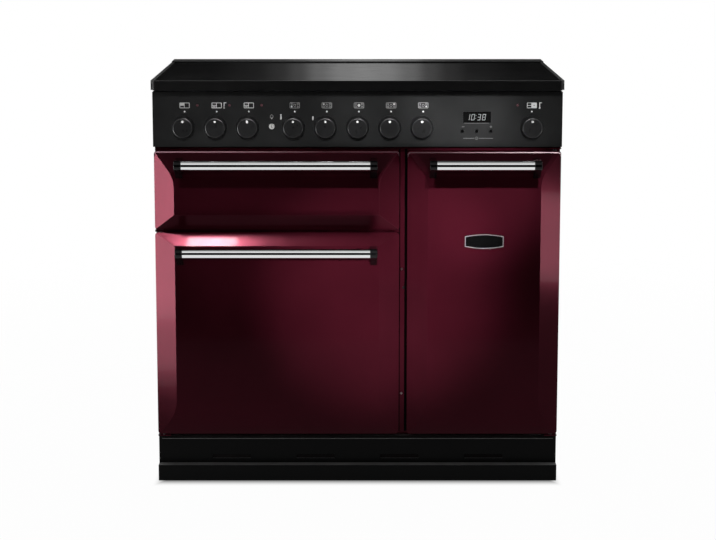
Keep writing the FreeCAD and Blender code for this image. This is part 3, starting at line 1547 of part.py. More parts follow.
def hob_frame():
    """The hob surround: a skirt, a rim, a ledge under the glass and a raised rear trim with vents."""
    over, skirt = size.cut_overrun, size.hob_skirt
    x, y = (-hob_half_width, hob_half_width), (hob_front, rear)
    body = new_body("hob_surround")
    slab = body_sketch(body, "hob_surround_plan", "XY_Plane", hob_bottom)
    draw_rectangle(slab, x, y)
    blank = pad(body, slab, size.hob_height)
    upright = [f"Edge{number}" for number, edge in enumerate(blank.Shape.Edges, start=1)
               if edge.BoundBox.ZLength > 0 and edge.CenterOfMass.y < 0
               and abs(edge.BoundBox.ZLength - edge.Length) < edge.BoundBox.ZLength / 2]
    corners = body.newObject("PartDesign::Fillet", "hob_surround_corners")
    corners.Base = (blank, upright)
    bind(corners, "Radius", size.hob_corner_radius)
    doc.recompute()
    trim_front = rear - size.hob_trim_depth
    step = block("hob_rim_step", (x[0] - over, x[1] + over), (y[0] - over, trim_front),
                 (rim_top, hob_top + over))
    hollow = block("hob_hollow", (x[0] + skirt, x[1] - skirt), (y[0] + skirt, y[1] - skirt),
                   (hob_bottom - over, ledge_bottom))
    glass_x, glass_y = glass_span()
    slack, ledge = size.glass_clearance, size.hob_ledge_width
    rebate = block("hob_rebate", (glass_x[0] - slack, glass_x[1] + slack),
                   (glass_y[0] - slack, glass_y[1]), (glass_bottom, hob_top + over))
    window = block("hob_window", (glass_x[0] + ledge, glass_x[1] - ledge),
                   (glass_y[0] + ledge, glass_y[1] - ledge), (ledge_bottom - over, hob_top + over))
    vents = [vent_slot(number) for number in range(VENT_SLOT_COUNT)]
    return without("hob_frame", body, [step, hollow, rebate, window] + vents)


def vent_slot(number):
    """One slot near the rear edge of the hob's rear trim."""
    centre = size.vent_slot_pitch * (number - (VENT_SLOT_COUNT - 1) / 2)
    half = size.vent_slot_length / 2
    back = rear - size.vent_slot_inset
    return block(f"vent_slot_{number}", (centre - half, centre + half), (back - size.vent_slot_width, back),
                 (ledge_bottom - size.cut_overrun, hob_top + size.cut_overrun))


def hob_glass():
    x, y = glass_span()
    body = new_body("hob_glass")
    outline = body_sketch(body, "hob_glass_plan", "XY_Plane", glass_bottom)
    draw_rectangle(outline, x, (y[0], y[1] - size.glass_clearance))
    pad(body, outline, size.glass_thickness)
    return body


def heater_floor_level():
    return glass_bottom - size.rest_clearance - size.heater_height


def hob_tray():
    """The sheet tray under the glass, hung by a flange between the casing and the hob frame."""
    fold, over = size.casing_sheet, size.cut_overrun
    floor = heater_floor_level()
    flange = size.tray_flange
    outer_x = half_width - size.loose_clearance
    y = (hob_front + size.hob_skirt + size.loose_clearance, rear - size.hob_trim_depth)
    pan_x = outer_x - flange
    pan_y = (y[0] + size.tray_front_inset, y[1] - flange)
    pan = block("hob_tray_pan", (-pan_x, pan_x), pan_y, (floor - fold, ledge_bottom))
    rim = block("hob_tray_rim", (-outer_x, outer_x), y, (casing_top, ledge_bottom))
    hollow = block("hob_tray_hollow", (fold - pan_x, pan_x - fold), (pan_y[0] + fold, pan_y[1] - fold),
                   (floor, ledge_bottom + over))
    return without("hob_tray", fused("hob_tray_blank", [pan, rim]), [hollow])


def hob_heaters():
    """Five radiant heater dishes on the tray, close under the glass."""
    x, y = glass_span()
    floor = heater_floor_level()
    top = floor + size.heater_height
    dishes = []
    for number, (x_share, y_share, radius_name) in enumerate(HEATER_PLACE_SHARES):
        centre = x[0] + (x[1] - x[0]) * x_share, y[0] + (y[1] - y[0]) * y_share
        radius = getattr(size, radius_name)
        dish = rod(f"heater_{number}_dish", "Z", radius, *centre, (floor, top))
        well = rod(f"heater_{number}_well", "Z", radius - size.heater_wall, *centre,
                   (floor + size.heater_floor, top + size.cut_overrun))
        dishes.append(without(f"heater_{number}", dish, [well]))
    return grouped("hob_heaters", dishes)


def terminal_box():
    """The supply terminal box on the rear panel with the gland that the supply lead passes through."""
    x, z = terminal_centre()
    half_x, half_z, wall = size.terminal_width / 2, size.terminal_height / 2, size.terminal_wall
    y = (rear_panel_front - size.terminal_depth, rear_panel_front)
    case = block("terminal_case", (x - half_x, x + half_x), y, (z - half_z, z + half_z))
    hollow = block("terminal_hollow", (x - half_x + wall, x + half_x - wall), (y[0] + wall, y[1] - wall),
                   (z - half_z + wall, z + half_z - wall))
    box = without("terminal_shell", case, [hollow])
    gland_y = (casing_rear - size.gland_length, casing_rear)
    gland = rod("gland_tube", "Y", size.gland_outer_radius, x, gland_y, z)
    bore = rod("gland_bore", "Y", size.gland_bore_radius, x,
               (gland_y[0] - size.cut_overrun, casing_rear + size.cut_overrun), z)
    return without("terminal_box", fused("terminal_blank", [box, gland]), [bore])


def all_pieces():
    pieces = side_panels() + [rear_panel(), front_frame(), base_frame(), levelling_feet(), plinth_panel()]
    pieces += [oven_liner(MAIN_CAVITY, True), oven_liner(TALL_CAVITY, True), grill_liner()]
    pieces += [insulation_wraps(), shelf_racks()] + oven_shelves() + [grill_pan(), grill_trivet()]
    pieces += [heating_elements(), fan_covers()]
    pieces += [grouped("fan_motors", [fan_motor(space) for space in (MAIN_CAVITY, TALL_CAVITY)])]
    pieces += [grouped("oven_lamps", [oven_lamp(space) for space in (MAIN_CAVITY, TALL_CAVITY)])]
    pieces += [grouped("door_gaskets", [door_gasket(space) for space in (MAIN_CAVITY, TALL_CAVITY)])]
    pieces += [terminal_box(), control_panel(), control_switches(), clock_module(), neon_lamps()]
    pieces += [hob_frame(), hob_glass(), hob_tray(), hob_heaters()]
    for leaf in (GRILL_DOOR, MAIN_DOOR, TALL_DOOR):
        pieces += [door_outer(leaf), door_inner(leaf)]
    pieces += handle(GRILL_DOOR, "grill_handle_bar", "grill_handle_ends", size.long_handle_span,
                     size.upper_handle_drop)
    pieces += handle(MAIN_DOOR, "main_handle_bar", "main_handle_ends", size.long_handle_span,
                     size.lower_handle_drop)
    pieces += handle(TALL_DOOR, "tall_handle_bar", "tall_handle_ends", size.short_handle_span,
                     size.upper_handle_drop)
    pieces.append(badge_plate())
    pieces += [knob(name, x) for name, x in knob_places()]
    pieces.append(push_button("light_button", light_button_x(), knob_level + size.light_button_rise,
                              size.light_button_radius, size.light_button_proud))
    pieces += [push_button(name, x, z, size.clock_button_radius, size.clock_button_proud)
               for name, x, z in clock_button_places()]
    pieces += [oven_fan("main_oven_fan", MAIN_CAVITY), oven_fan("tall_oven_fan", TALL_CAVITY)]
    pieces += [rear_roller("rear_roller_left", -1), rear_roller("rear_roller_right", 1)]
    return pieces


def check_and_write(pieces):
    """Stop at any failed object, then write one file for each node."""
    doc.recompute()
    for item in doc.Objects:
        if {"Invalid", "Error"} & set(item.State):
            raise RuntimeError(f"{item.Name} failed: {item.State}")
    for piece in pieces:
        if piece.Shape.isNull() or not piece.Shape.isValid() or not piece.Shape.Solids:
            raise RuntimeError(f"{piece.Label} has no valid solid")
    os.makedirs("parts", exist_ok=True)
    for piece in pieces:
        piece.Shape.exportStep(f"parts/{piece.Label}.step")
        print(f"{piece.Label}: {len(piece.Shape.Solids)} solid(s), {piece.Shape.Volume / 1000:.1f} cm3")
    print(f"{len(pieces)} nodes")


check_and_write(all_pieces())
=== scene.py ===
import json
import math

import bmesh
import bpy
from mathutils import Matrix, Vector


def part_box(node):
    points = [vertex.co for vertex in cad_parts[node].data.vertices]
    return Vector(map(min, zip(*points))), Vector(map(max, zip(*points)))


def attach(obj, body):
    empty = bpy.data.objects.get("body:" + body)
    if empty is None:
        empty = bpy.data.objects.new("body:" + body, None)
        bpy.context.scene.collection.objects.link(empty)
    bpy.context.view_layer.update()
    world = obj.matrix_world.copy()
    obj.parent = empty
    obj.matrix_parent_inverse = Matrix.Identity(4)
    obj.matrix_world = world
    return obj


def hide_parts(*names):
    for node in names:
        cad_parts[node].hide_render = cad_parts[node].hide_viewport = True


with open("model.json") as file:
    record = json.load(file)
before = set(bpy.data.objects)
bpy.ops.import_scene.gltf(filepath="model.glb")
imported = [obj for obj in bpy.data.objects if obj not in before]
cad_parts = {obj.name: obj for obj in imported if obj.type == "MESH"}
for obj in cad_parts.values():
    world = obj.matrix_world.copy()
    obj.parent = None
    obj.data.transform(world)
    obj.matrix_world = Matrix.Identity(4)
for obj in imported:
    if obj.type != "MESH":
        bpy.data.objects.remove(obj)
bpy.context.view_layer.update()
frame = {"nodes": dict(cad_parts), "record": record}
nodes = frame["nodes"]
MM = 0.001


def dress(piece, material):
    piece.data.materials.clear()
    piece.data.materials.append(material)


# Materials

# Nearly all of a noise texture's values lie between these two levels.
NOISE_SPAN = (0.3, 0.7)


def grey(level):
    return (level, level, level)


def shade(colour, factor):
    return tuple(channel * factor for channel in colour)


def add_node(tree, kind, links=None, **settings):
    """A shader node whose sockets are each linked to another socket or set to a value."""
    made = tree.nodes.new(kind)
    for key, value in settings.items():
        setattr(made, key, value)
    for socket, source in (links or {}).items():
        if isinstance(source, bpy.types.NodeSocket):
            tree.links.new(source, made.inputs[socket])
        else:
            made.inputs[socket].default_value = source
    return made


def set_stops(ramp, stops):
    """Gives a colour ramp its stops, each a position and a colour."""
    elements = ramp.color_ramp.elements
    while len(elements) < len(stops):
        elements.new(1.0)
    for element, (position, colour) in zip(elements, stops):
        element.position = position
        element.color = (*colour, 1.0)


class Finish:
    """A Principled material with texture helpers that work in the object's own metres."""

    def __init__(self, name, colour, roughness, metallic=0.0, coat=0.0, coat_roughness=0.03,
                 coat_ior=1.5, ior=1.5, specular=0.5):
        self.material = bpy.data.materials.new(name)
        self.material.use_nodes = True
        self.tree = self.material.node_tree
        self.shader = self.tree.nodes["Principled BSDF"]
        self.coordinates = self.tree.nodes.new("ShaderNodeTexCoord")
        plain = {"Base Color": (*colour, 1.0), "Roughness": roughness, "Metallic": metallic,
                 "Coat Weight": coat, "Coat Roughness": coat_roughness, "Coat IOR": coat_ior,
                 "IOR": ior, "Specular IOR Level": specular}
        for socket, value in plain.items():
            self.shader.inputs[socket].default_value = value

    def node(self, kind, links=None, **settings):
        return add_node(self.tree, kind, links, **settings)

    def place(self, stretch=(1, 1, 1)):
        """Object coordinates, stretched along the axes that run with a grain."""
        links = {"Vector": self.coordinates.outputs["Object"], "Scale": stretch}
        return self.node("ShaderNodeMapping", links).outputs["Vector"]

    def noise(self, size, detail=2.0, stretch=(1, 1, 1)):
        links = {"Vector": self.place(stretch), "Scale": 1 / size, "Detail": detail}
        return self.node("ShaderNodeTexNoise", links).outputs["Fac"]

    def cells(self, size):
        links = {"Vector": self.place(), "Scale": 1 / size}
        return self.node("ShaderNodeTexVoronoi", links)

    def ramp(self, source, low, high):
        """A number spread between two levels, from the low to the high end of the source."""
        links = {"Value": source, "From Min": low[0], "To Min": low[1], "From Max": high[0],
                 "To Max": high[1]}
        return self.node("ShaderNodeMapRange", links).outputs["Result"]

    def along(self, axis, low, high, space="Object"):
        """A number that runs from 0 to 1 between two places on an axis."""
        parts = self.node("ShaderNodeSeparateXYZ", {"Vector": self.coordinates.outputs[space]})
        return self.ramp(parts.outputs[axis], (low, 0.0), (high, 1.0))

    def colours(self, source, stops):
        ramp = self.node("ShaderNodeValToRGB", {"Fac": source})
        set_stops(ramp, stops)
        return ramp.outputs["Color"]

    def blend(self, share, low, high):
        """A mix of two colours by a share of the second."""
        links = {"Factor": share, "A": low, "B": high}
        return self.node("ShaderNodeMix", links, data_type="RGBA").outputs["Result"]

    def set_colour(self, source):
        self.tree.links.new(source, self.shader.inputs["Base Color"])
        return self

    def set_roughness(self, source):
        self.tree.links.new(source, self.shader.inputs["Roughness"])
        return self

    def set_bump(self, source, height):
        links = {"Height": source, "Distance": height, "Strength": 1.0}
        bump = self.node("ShaderNodeBump", links)
        self.tree.links.new(bump.outputs["Normal"], self.shader.inputs["Normal"])
        return self

    def vary_colour(self, source, colour, low, high, span=NOISE_SPAN):
        """Lets the colour drift between two shades of itself."""
        stops = [(span[0], shade(colour, low)), (span[1], shade(colour, high))]
        return self.set_colour(self.colours(source, stops))

    def vary_roughness(self, source, low, high, span=NOISE_SPAN):
        return self.set_roughness(self.ramp(source, (span[0], low), (span[1], high)))


def enamel(name, colour, roughness=0.17, depth=0.13, coat=0.5, coat_roughness=0.04,
           coat_ior=1.075, specular=0.01):
    """Fired enamel: light from the depth of its colour, under a clear coat with faint peel."""
    finish = Finish(name, colour, roughness, metallic=depth, coat=coat,
                    coat_roughness=coat_roughness, coat_ior=coat_ior, specular=specular)
    finish.vary_colour(finish.noise(0.12, detail=3.0), colour, 0.92, 1.1)
    finish.vary_roughness(finish.noise(0.03), roughness * 0.92, roughness * 1.1)
    return finish.set_bump(finish.noise(0.004, detail=1.0), 0.000012)


def speckled_enamel(name, colour, fleck):
    """Vitreous oven enamel: black with fine pale flecks and a slightly uneven gloss."""
    finish = Finish(name, colour, 0.28, coat=0.6, coat_roughness=0.12)
    flecks = finish.cells(0.0035).outputs["Distance"]
    finish.set_colour(finish.colours(flecks, [(0.10, fleck), (0.16, colour)]))
    finish.vary_roughness(finish.noise(0.02), 0.22, 0.4)
    return finish.set_bump(finish.noise(0.006), 0.000003)


def satin_coat(name, colour, roughness, grain=0.0008, height=0.00002, specular=0.5):
    """Satin paint or moulded plastic with a fine even texture."""
    finish = Finish(name, colour, roughness, specular=specular)
    finish.vary_colour(finish.noise(0.05, detail=4.0), colour, 0.88, 1.12)
    finish.vary_roughness(finish.noise(0.01, detail=3.0), roughness * 0.9, roughness * 1.12)
    return finish.set_bump(finish.noise(grain), height)


def brushed_metal(name, colour, roughness, along="X", height=0.000004):
    """Metal with fine drawn lines along one axis."""
    stretch = tuple(0.01 if axis == along else 1 for axis in "XYZ")
    finish = Finish(name, colour, roughness, metallic=1.0)
    lines = finish.noise(0.0004, detail=3.0, stretch=stretch)
    finish.vary_roughness(lines, roughness * 0.7, roughness * 1.4)
    finish.vary_colour(lines, colour, 0.94, 1.0, span=(0.2, 0.8))
    return finish.set_bump(lines, height)


def zinc_sheet(name, colour):
    """Galvanised sheet with its spangle of flat crystals."""
    finish = Finish(name, colour, 0.38, metallic=0.9)
    crystals = finish.cells(0.012).outputs["Color"]
    finish.vary_colour(crystals, colour, 0.8, 1.0, span=(0.1, 0.9))
    finish.vary_roughness(crystals, 0.3, 0.5, span=(0.0, 1.0))
    return finish.set_bump(finish.noise(0.002), 0.00001)


def ink(name, colour, roughness=0.5):
    """Screen-printed ink, slightly uneven in cover."""
    finish = Finish(name, colour, roughness)
    cover = finish.noise(0.0012, detail=3.0)
    return finish.vary_colour(cover, colour, 0.82, 1.0, span=(0.25, 0.6))


CHERRY = (0.054, 0.0056, 0.0120)
OVEN_BLACK = (0.018, 0.018, 0.021)
OVEN_FLECK = (0.16, 0.17, 0.19)
FINISHES = {
    "cherry_enamel": enamel("cherry_enamel", CHERRY),
    "charcoal_enamel": satin_coat("charcoal_enamel", (0.0135, 0.0137, 0.0138), 0.42,
                                  specular=0.12),
    "casing_black": satin_coat("casing_black", (0.008, 0.008, 0.0085), 0.4, grain=0.0012,
                               specular=0.15),
    "oven_enamel": speckled_enamel("oven_enamel", OVEN_BLACK, OVEN_FLECK),
    "tray_enamel": speckled_enamel("tray_enamel", (0.012, 0.012, 0.014), (0.12, 0.13, 0.15)),
    "galvanised_steel": zinc_sheet("galvanised_steel", (0.52, 0.53, 0.55)),
    "chrome": brushed_metal("chrome", (0.76, 0.765, 0.77), 0.055, height=0.000001),
    "screw_steel": brushed_metal("screw_steel", (0.34, 0.30, 0.31), 0.3),
    "wire_steel": brushed_metal("wire_steel", (0.68, 0.69, 0.71), 0.18, along="Y"),
    "element_steel": satin_coat("element_steel", (0.09, 0.085, 0.08), 0.5, grain=0.002),
    "bracket_black": enamel("bracket_black", (0.006, 0.006, 0.0065), 0.2, coat=1.0,
                            coat_ior=1.25),
    "button_grey": satin_coat("button_grey", (0.42, 0.42, 0.41), 0.4, grain=0.0005),
    "button_black": satin_coat("button_black", grey(0.0016), 0.4, grain=0.0005, specular=0.06),
    "hob_frame_black": enamel("hob_frame_black", (0.018, 0.018, 0.0183), 0.4, depth=0.0,
                              coat_roughness=0.12, coat_ior=1.4, specular=0.12),
    "mineral_wool": satin_coat("mineral_wool", (0.5, 0.42, 0.24), 0.95, grain=0.004,
                               height=0.0015),
    "gasket_rubber": satin_coat("gasket_rubber", (0.04, 0.04, 0.045), 0.85, grain=0.0015,
                                height=0.0003),
    "heater_ceramic": satin_coat("heater_ceramic", (0.7, 0.67, 0.6), 0.9, grain=0.002,
                                 height=0.0002),
    "module_plastic": satin_coat("module_plastic", (0.02, 0.02, 0.022), 0.4),
    "neon_red": satin_coat("neon_red", (0.085, 0.028, 0.034), 0.3),
    "roller_nylon": satin_coat("roller_nylon", (0.28, 0.28, 0.29), 0.55),
    "badge_chrome": enamel("badge_chrome", (0.0045, 0.0045, 0.0047), 0.3, coat=1.0),
}


def hob_glass_finish():
    """Black ceramic glass: smooth, with a faint printed dot grain below its surface."""
    finish = Finish("hob_glass_black", (0.006, 0.006, 0.0063), 0.12, ior=1.18)
    dots = finish.cells(0.0022).outputs["Distance"]
    dot, ground = (0.011, 0.011, 0.012), (0.005, 0.005, 0.0053)
    finish.set_colour(finish.colours(dots, [(0.18, dot), (0.24, ground)]))
    return finish.vary_roughness(finish.noise(0.04), 0.10, 0.15)


# The door's height, and the shares of it where the pressed sheet begins and ends.
DOOR_HEIGHT = 0.9
SHEET_FOOT = 0.1203
SHEET_TOP = 0.8306
SHEET_BLUR = 0.0003


def door_inner_finish():
    """Oven enamel on the pressed sheet, and dull black on the pivot pins above and below it."""
    finish = speckled_enamel("door_inner_enamel", OVEN_BLACK, OVEN_FLECK)
    bare, glazed = grey(0.0), grey(0.6)
    cover = finish.colours(finish.along("Z", 0.0, DOOR_HEIGHT), [
        (SHEET_FOOT - SHEET_BLUR, bare), (SHEET_FOOT + SHEET_BLUR, glazed),
        (SHEET_TOP - SHEET_BLUR, glazed), (SHEET_TOP + SHEET_BLUR, bare)])
    for socket in ("Coat Weight", "Specular IOR Level"):
        finish.tree.links.new(cover, finish.shader.inputs[socket])
    return finish


def lamp_glass_finish():
    """A frosted lamp cover with moulded ripples."""
    finish = Finish("lamp_glass", (0.85, 0.82, 0.74), 0.15, ior=1.45)
    finish.shader.inputs["Transmission Weight"].default_value = 0.7
    return finish.set_bump(finish.noise(0.004), 0.0003)


SKIRT_FRONT = -0.2738
SKIRT_BLUR = 0.0004


def knob_finish():
    """Satin moulding whose skirt, the part nearest the panel, is near black: a darker skirt, and
    painted shade where the knob meets the panel.
    """
    finish = satin_coat("knob_black", (0.0145, 0.0145, 0.015), 0.3, grain=0.0006, specular=0.22)
    skirt = finish.along("Y", SKIRT_FRONT - SKIRT_BLUR, SKIRT_FRONT)
    tones = (0.0095, 0.0095, 0.0098), (0.0125, 0.0125, 0.0129)
    grip = finish.colours(finish.noise(0.02, detail=4.0), list(zip(NOISE_SPAN, tones)))
    # Painted shade: the skirt's near-black colour also stands for the shade ring round the knob.
    return finish.set_colour(finish.blend(skirt, grip, (0.0016, 0.0016, 0.0017, 1)))


# How far a face's normal points up, from none of the painted highlight to all of it.
HIGHLIGHT_FROM, HIGHLIGHT_TO = 0.35, 0.95


def plinth_finish():
    """Black satin paint, with a painted highlight: the faces that look up are pale grey."""
    finish = satin_coat("plinth_black", (0.003, 0.003, 0.0032), 0.38, grain=0.0012,
                        specular=0.05)
    highlight_share = finish.along("Z", HIGHLIGHT_FROM, HIGHLIGHT_TO, space="Normal")
    # Painted highlight: pale grey on the upward faces, such as the ledge, stands in for light
    # falling on them.
    pale = finish.colours(finish.noise(0.03, detail=5.0),
                          list(zip(NOISE_SPAN, (grey(0.20), grey(0.26)))))
    tones = (0.0022, 0.0024, 0.0024), (0.003, 0.0032, 0.0032)
    paint = finish.colours(finish.noise(0.05, detail=4.0), list(zip(NOISE_SPAN, tones)))
    return finish.set_colour(finish.blend(highlight_share, paint, pale))


HALF_WIDTH = 0.45


def rim_painted_highlight_finish():
    """A painted highlight on the rims: pale pink at the left end, dark in the middle and palest at
    the right end.
    """
    finish = Finish("rim_painted_highlight", (0.3, 0.2, 0.22), 0.3, specular=0.3)
    tones = finish.colours(finish.along("X", -HALF_WIDTH, HALF_WIDTH), [
        (0.0, (0.17, 0.092, 0.112)), (0.25, (0.105, 0.055, 0.064)), (0.42, (0.03, 0.010, 0.013)),
        (0.60, (0.035, 0.014, 0.018)), (0.72, (0.085, 0.046, 0.053)), (0.82, (0.33, 0.20, 0.225)),
        (0.92, (0.60, 0.42, 0.45)), (1.0, (0.68, 0.48, 0.52))])
    return finish.set_colour(tones).set_bump(finish.noise(0.004), 0.00002)


def digit_finish():
    """Lit figures of the clock, a little uneven like a real display."""
    finish = ink("digit_glow", (0.12, 0.125, 0.125))
    finish.shader.inputs["Emission Color"].default_value = (0.85, 0.9, 0.92, 1)
    finish.shader.inputs["Emission Strength"].default_value = 0.2
    return finish


FINISHES["hob_glass_black"] = hob_glass_finish()
FINISHES["lamp_glass"] = lamp_glass_finish()
FINISHES["knob_black"] = knob_finish()
SCREW_STEEL = FINISHES["screw_steel"].material
CASING_BLACK = FINISHES["casing_black"].material
PRINT_WHITE = ink("print_white", grey(0.50)).material
PRINT_GREY = ink("print_grey", grey(0.26)).material
PRINT_DIM = ink("print_dim", grey(0.085)).material
INDEX_INK = ink("index_ink", grey(0.62)).material
BADGE_RIM = satin_coat("badge_rim", (0.27, 0.25, 0.26), 0.35, grain=0.0006,
                       specular=0.3).material
RIM_PAINTED_HIGHLIGHT = rim_painted_highlight_finish().material
# Painted highlight: a paler enamel for the doors' rounded edges, so thin light lines show along
# them.
DOOR_EDGE_HIGHLIGHT = enamel("door_edge_highlight", (0.082, 0.014, 0.023)).material
DOOR_INNER = door_inner_finish().material
# Near-black for painted shade: the gaps beside the upright, behind the plinth's slots and above
# the plinth.
PAINTED_SHADE_BLACK = satin_coat("painted_shade_black", (0.0015, 0.0008, 0.0009), 0.8, specular=0.05).material
DOT_WHITE = satin_coat("dot_white", grey(0.76), 0.3).material
DIGIT_GLOW = digit_finish().material
WINDOW_BLACK = ink("window_black", grey(0.003), 0.12).material
PLINTH = plinth_finish().material
SLOT_OF = {part["node"]: part["material_slot"] for part in frame["record"]["subparts"]}


for node_name, node in nodes.items():
    dress(node, FINISHES[SLOT_OF[node_name]].material)
dress(nodes["plinth_panel"], PLINTH)
for node_name in ("main_oven_door_inner", "tall_oven_door_inner"):
    dress(nodes[node_name], DOOR_INNER)


# Edges

MERGE_DISTANCE = 0.002 * MM
FLAT_ANGLE = math.radians(0.4)
EDGE_ANGLE = math.radians(25)
FACE_WEIGHT = 100


def softened(node_name, body, width, segments=2, rim=None):
    """A copy of a CAD piece with its edges rounded, which stands for the piece in the scene.

    A rim is the material of the rounded edges, where they have one of their own.
    """
    source = nodes[node_name]
    mesh = source.data.copy()
    build = bmesh.new()
    build.from_mesh(mesh)
    bmesh.ops.remove_doubles(build, verts=build.verts, dist=MERGE_DISTANCE)
    bmesh.ops.dissolve_limit(build, angle_limit=FLAT_ANGLE, verts=build.verts, edges=build.edges)
    build.to_mesh(mesh)
    build.free()
    if "custom_normal" in mesh.attributes:
        mesh.attributes.remove(mesh.attributes["custom_normal"])
    mesh.shade_smooth()
    piece = bpy.data.objects.new(f"{node_name}_soft", mesh)
    bpy.context.scene.collection.objects.link(piece)
    edges = piece.modifiers.new("rounded_edges", "BEVEL")
    edges.limit_method = "ANGLE"
    edges.angle_limit = EDGE_ANGLE
    edges.width = width
    edges.segments = segments
    edges.use_clamp_overlap = True
    if rim:
        mesh.materials.append(rim)
        edges.material = 1
    flat = piece.modifiers.new("flat_faces", "WEIGHTED_NORMAL")
    flat.weight = FACE_WEIGHT
    flat.keep_sharp = True
    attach(piece, body)
    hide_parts(node_name)
    return piece


# The body that each softened piece rides on, and the width of its rounding in millimetres.
SOFT_EDGES = {
    "grill_door_outer": ("grill_door", 1.2),
    "main_oven_door_outer": ("main_oven_door", 1.2),
    "tall_oven_door_outer": ("tall_oven_door", 1.2),
    "control_panel": ("carcass", 0.9),
    "plinth_panel": ("carcass", 0.5),
    "hob_frame": ("carcass", 2.2),
    "hob_glass": ("carcass", 0.6),
    "grill_handle_ends": ("grill_door", 1.6),
    "main_handle_ends": ("main_oven_door", 1.6),
    "tall_handle_ends": ("tall_oven_door", 1.6),
    "badge_plate": ("tall_oven_door", 0.5),
}
soft_pieces = {}
for soft_node, (soft_body, soft_width) in SOFT_EDGES.items():
    # The doors' rounded edges get the paler enamel of the painted highlight.
    soft_edge_highlight = DOOR_EDGE_HIGHLIGHT if soft_node.endswith("door_outer") else None
    soft_pieces[soft_node] = softened(soft_node, soft_body, soft_width * MM, rim=soft_edge_highlight)


# Shapes in mesh code, drawn in millimetres

SMOOTH_ANGLE = math.radians(35)
CORNER_STEPS = 5
TURN_STEPS = 24
WELD_DISTANCE = 1e-7


def place_mesh(name, body, build, material, smooth=False):
    """A finished piece from a bmesh, which rides on a body."""
    mesh = bpy.data.meshes.new(name)
    bmesh.ops.recalc_face_normals(build, faces=build.faces)
    build.to_mesh(mesh)
    build.free()
    if smooth:
        mesh.shade_smooth()
        mesh.set_sharp_from_angle(angle=SMOOTH_ANGLE)
    piece = bpy.data.objects.new(name, mesh)
    bpy.context.scene.collection.objects.link(piece)
    dress(piece, material)
    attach(piece, body)
    return piece


def add_print(build, outline, front, thickness, holes=()):
    """One printed or raised shape: an outline of X and Z with its holes, facing the front."""
    loops = []
    for points in (outline, *holes):
        corners = [build.verts.new((x * MM, front * MM, z * MM)) for x, z in points]
        loops += [build.edges.new((a, b)) for a, b in zip(corners, corners[1:] + corners[:1])]
    filled = bmesh.ops.triangle_fill(build, use_beauty=True, use_dissolve=False, edges=loops)
    faces = [item for item in filled["geom"] if isinstance(item, bmesh.types.BMFace)]
    raised = bmesh.ops.extrude_face_region(build, geom=faces)
    corners = [item for item in raised["geom"] if isinstance(item, bmesh.types.BMVert)]
    bmesh.ops.translate(build, verts=corners, vec=(0, -thickness * MM, 0))


def rectangle(x, z):
    return [(x[0], z[0]), (x[1], z[0]), (x[1], z[1]), (x[0], z[1])]


def rounded(x, z, radius):
    """A rectangle with rounded corners."""
    points = []
    centres = [(x[1] - radius, z[1] - radius, 0), (x[0] + radius, z[1] - radius, 1),
               (x[0] + radius, z[0] + radius, 2), (x[1] - radius, z[0] + radius, 3)]
    for centre_x, centre_z, quarter in centres:
        for step in range(CORNER_STEPS + 1):
            angle = (quarter + step / CORNER_STEPS) * math.pi / 2
            points.append((centre_x + radius * math.cos(angle),
                           centre_z + radius * math.sin(angle)))
    return points


def disc(x, z, radius, steps=20):
    angles = [2 * math.pi * step / steps for step in range(steps)]
    return [(x + radius * math.cos(angle), z + radius * math.sin(angle)) for angle in angles]


def shapes(name, body, front, thickness, items, material):
    """Several printed shapes as one piece. An item is an outline, or an outline with its holes."""
    build = bmesh.new()
    for item in items:
        outline, holes = item if isinstance(item, tuple) else (item, ())
        add_print(build, outline, front, thickness, holes)
    return place_mesh(name, body, build, material)


def lathe(build, profile):
    """Turns a profile of radius and height pairs round Z."""
    corners = [build.verts.new((radius, 0, height)) for radius, height in profile]
    edges = [build.edges.new(pair) for pair in zip(corners, corners[1:])]
    bmesh.ops.spin(build, geom=corners + edges, cent=(0, 0, 0), axis=(0, 0, 1),
                   angle=2 * math.pi, steps=TURN_STEPS)
    bmesh.ops.remove_doubles(build, verts=build.verts, dist=WELD_DISTANCE)


def add_ring(build, radius, height):
    angles = [math.tau * step / TURN_STEPS for step in range(TURN_STEPS)]
    return [build.verts.new((radius * math.cos(angle), radius * math.sin(angle), height))
            for angle in angles]


def screw_mesh(radius):
    """A pan head with a cross recess, standing on Z = 0."""
    build = bmesh.new()
    rim, top, arm = radius * 0.62, radius * 0.5, radius * 0.5
    width, sink, taper = radius * 0.13, radius * 0.3, 0.6
    ring = add_ring(build, rim, top)
    cross = [(width, width), (width, arm), (-width, arm), (-width, width), (-arm, width),
             (-arm, -width), (-width, -width), (-width, -arm), (width, -arm), (width, -width),
             (arm, -width), (arm, width)]
    inner = [build.verts.new((x, y, top)) for x, y in cross]
    loops = [build.edges.new((a, b))
             for loop in (ring, inner) for a, b in zip(loop, loop[1:] + loop[:1])]
    bmesh.ops.triangle_fill(build, use_beauty=True, use_dissolve=False, edges=loops)
    deep = [build.verts.new((x * taper, y * taper, top - sink)) for x, y in cross]
    build.faces.new(deep)
    shoulder = add_ring(build, radius * 0.9, top * 0.72)
    foot = add_ring(build, radius, 0)
    for upper, lower in ((inner, deep), (ring, shoulder), (shoulder, foot)):
        for k, corner in enumerate(upper):
            nearby = (k + 1) % len(upper)
            build.faces.new((corner, upper[nearby], lower[nearby], lower[k]))
    mesh = bpy.data.meshes.new("screw")
    bmesh.ops.recalc_face_normals(build, faces=build.faces)
    build.to_mesh(mesh)
    build.free()
    return mesh


SCREW_TWIST = 0.7


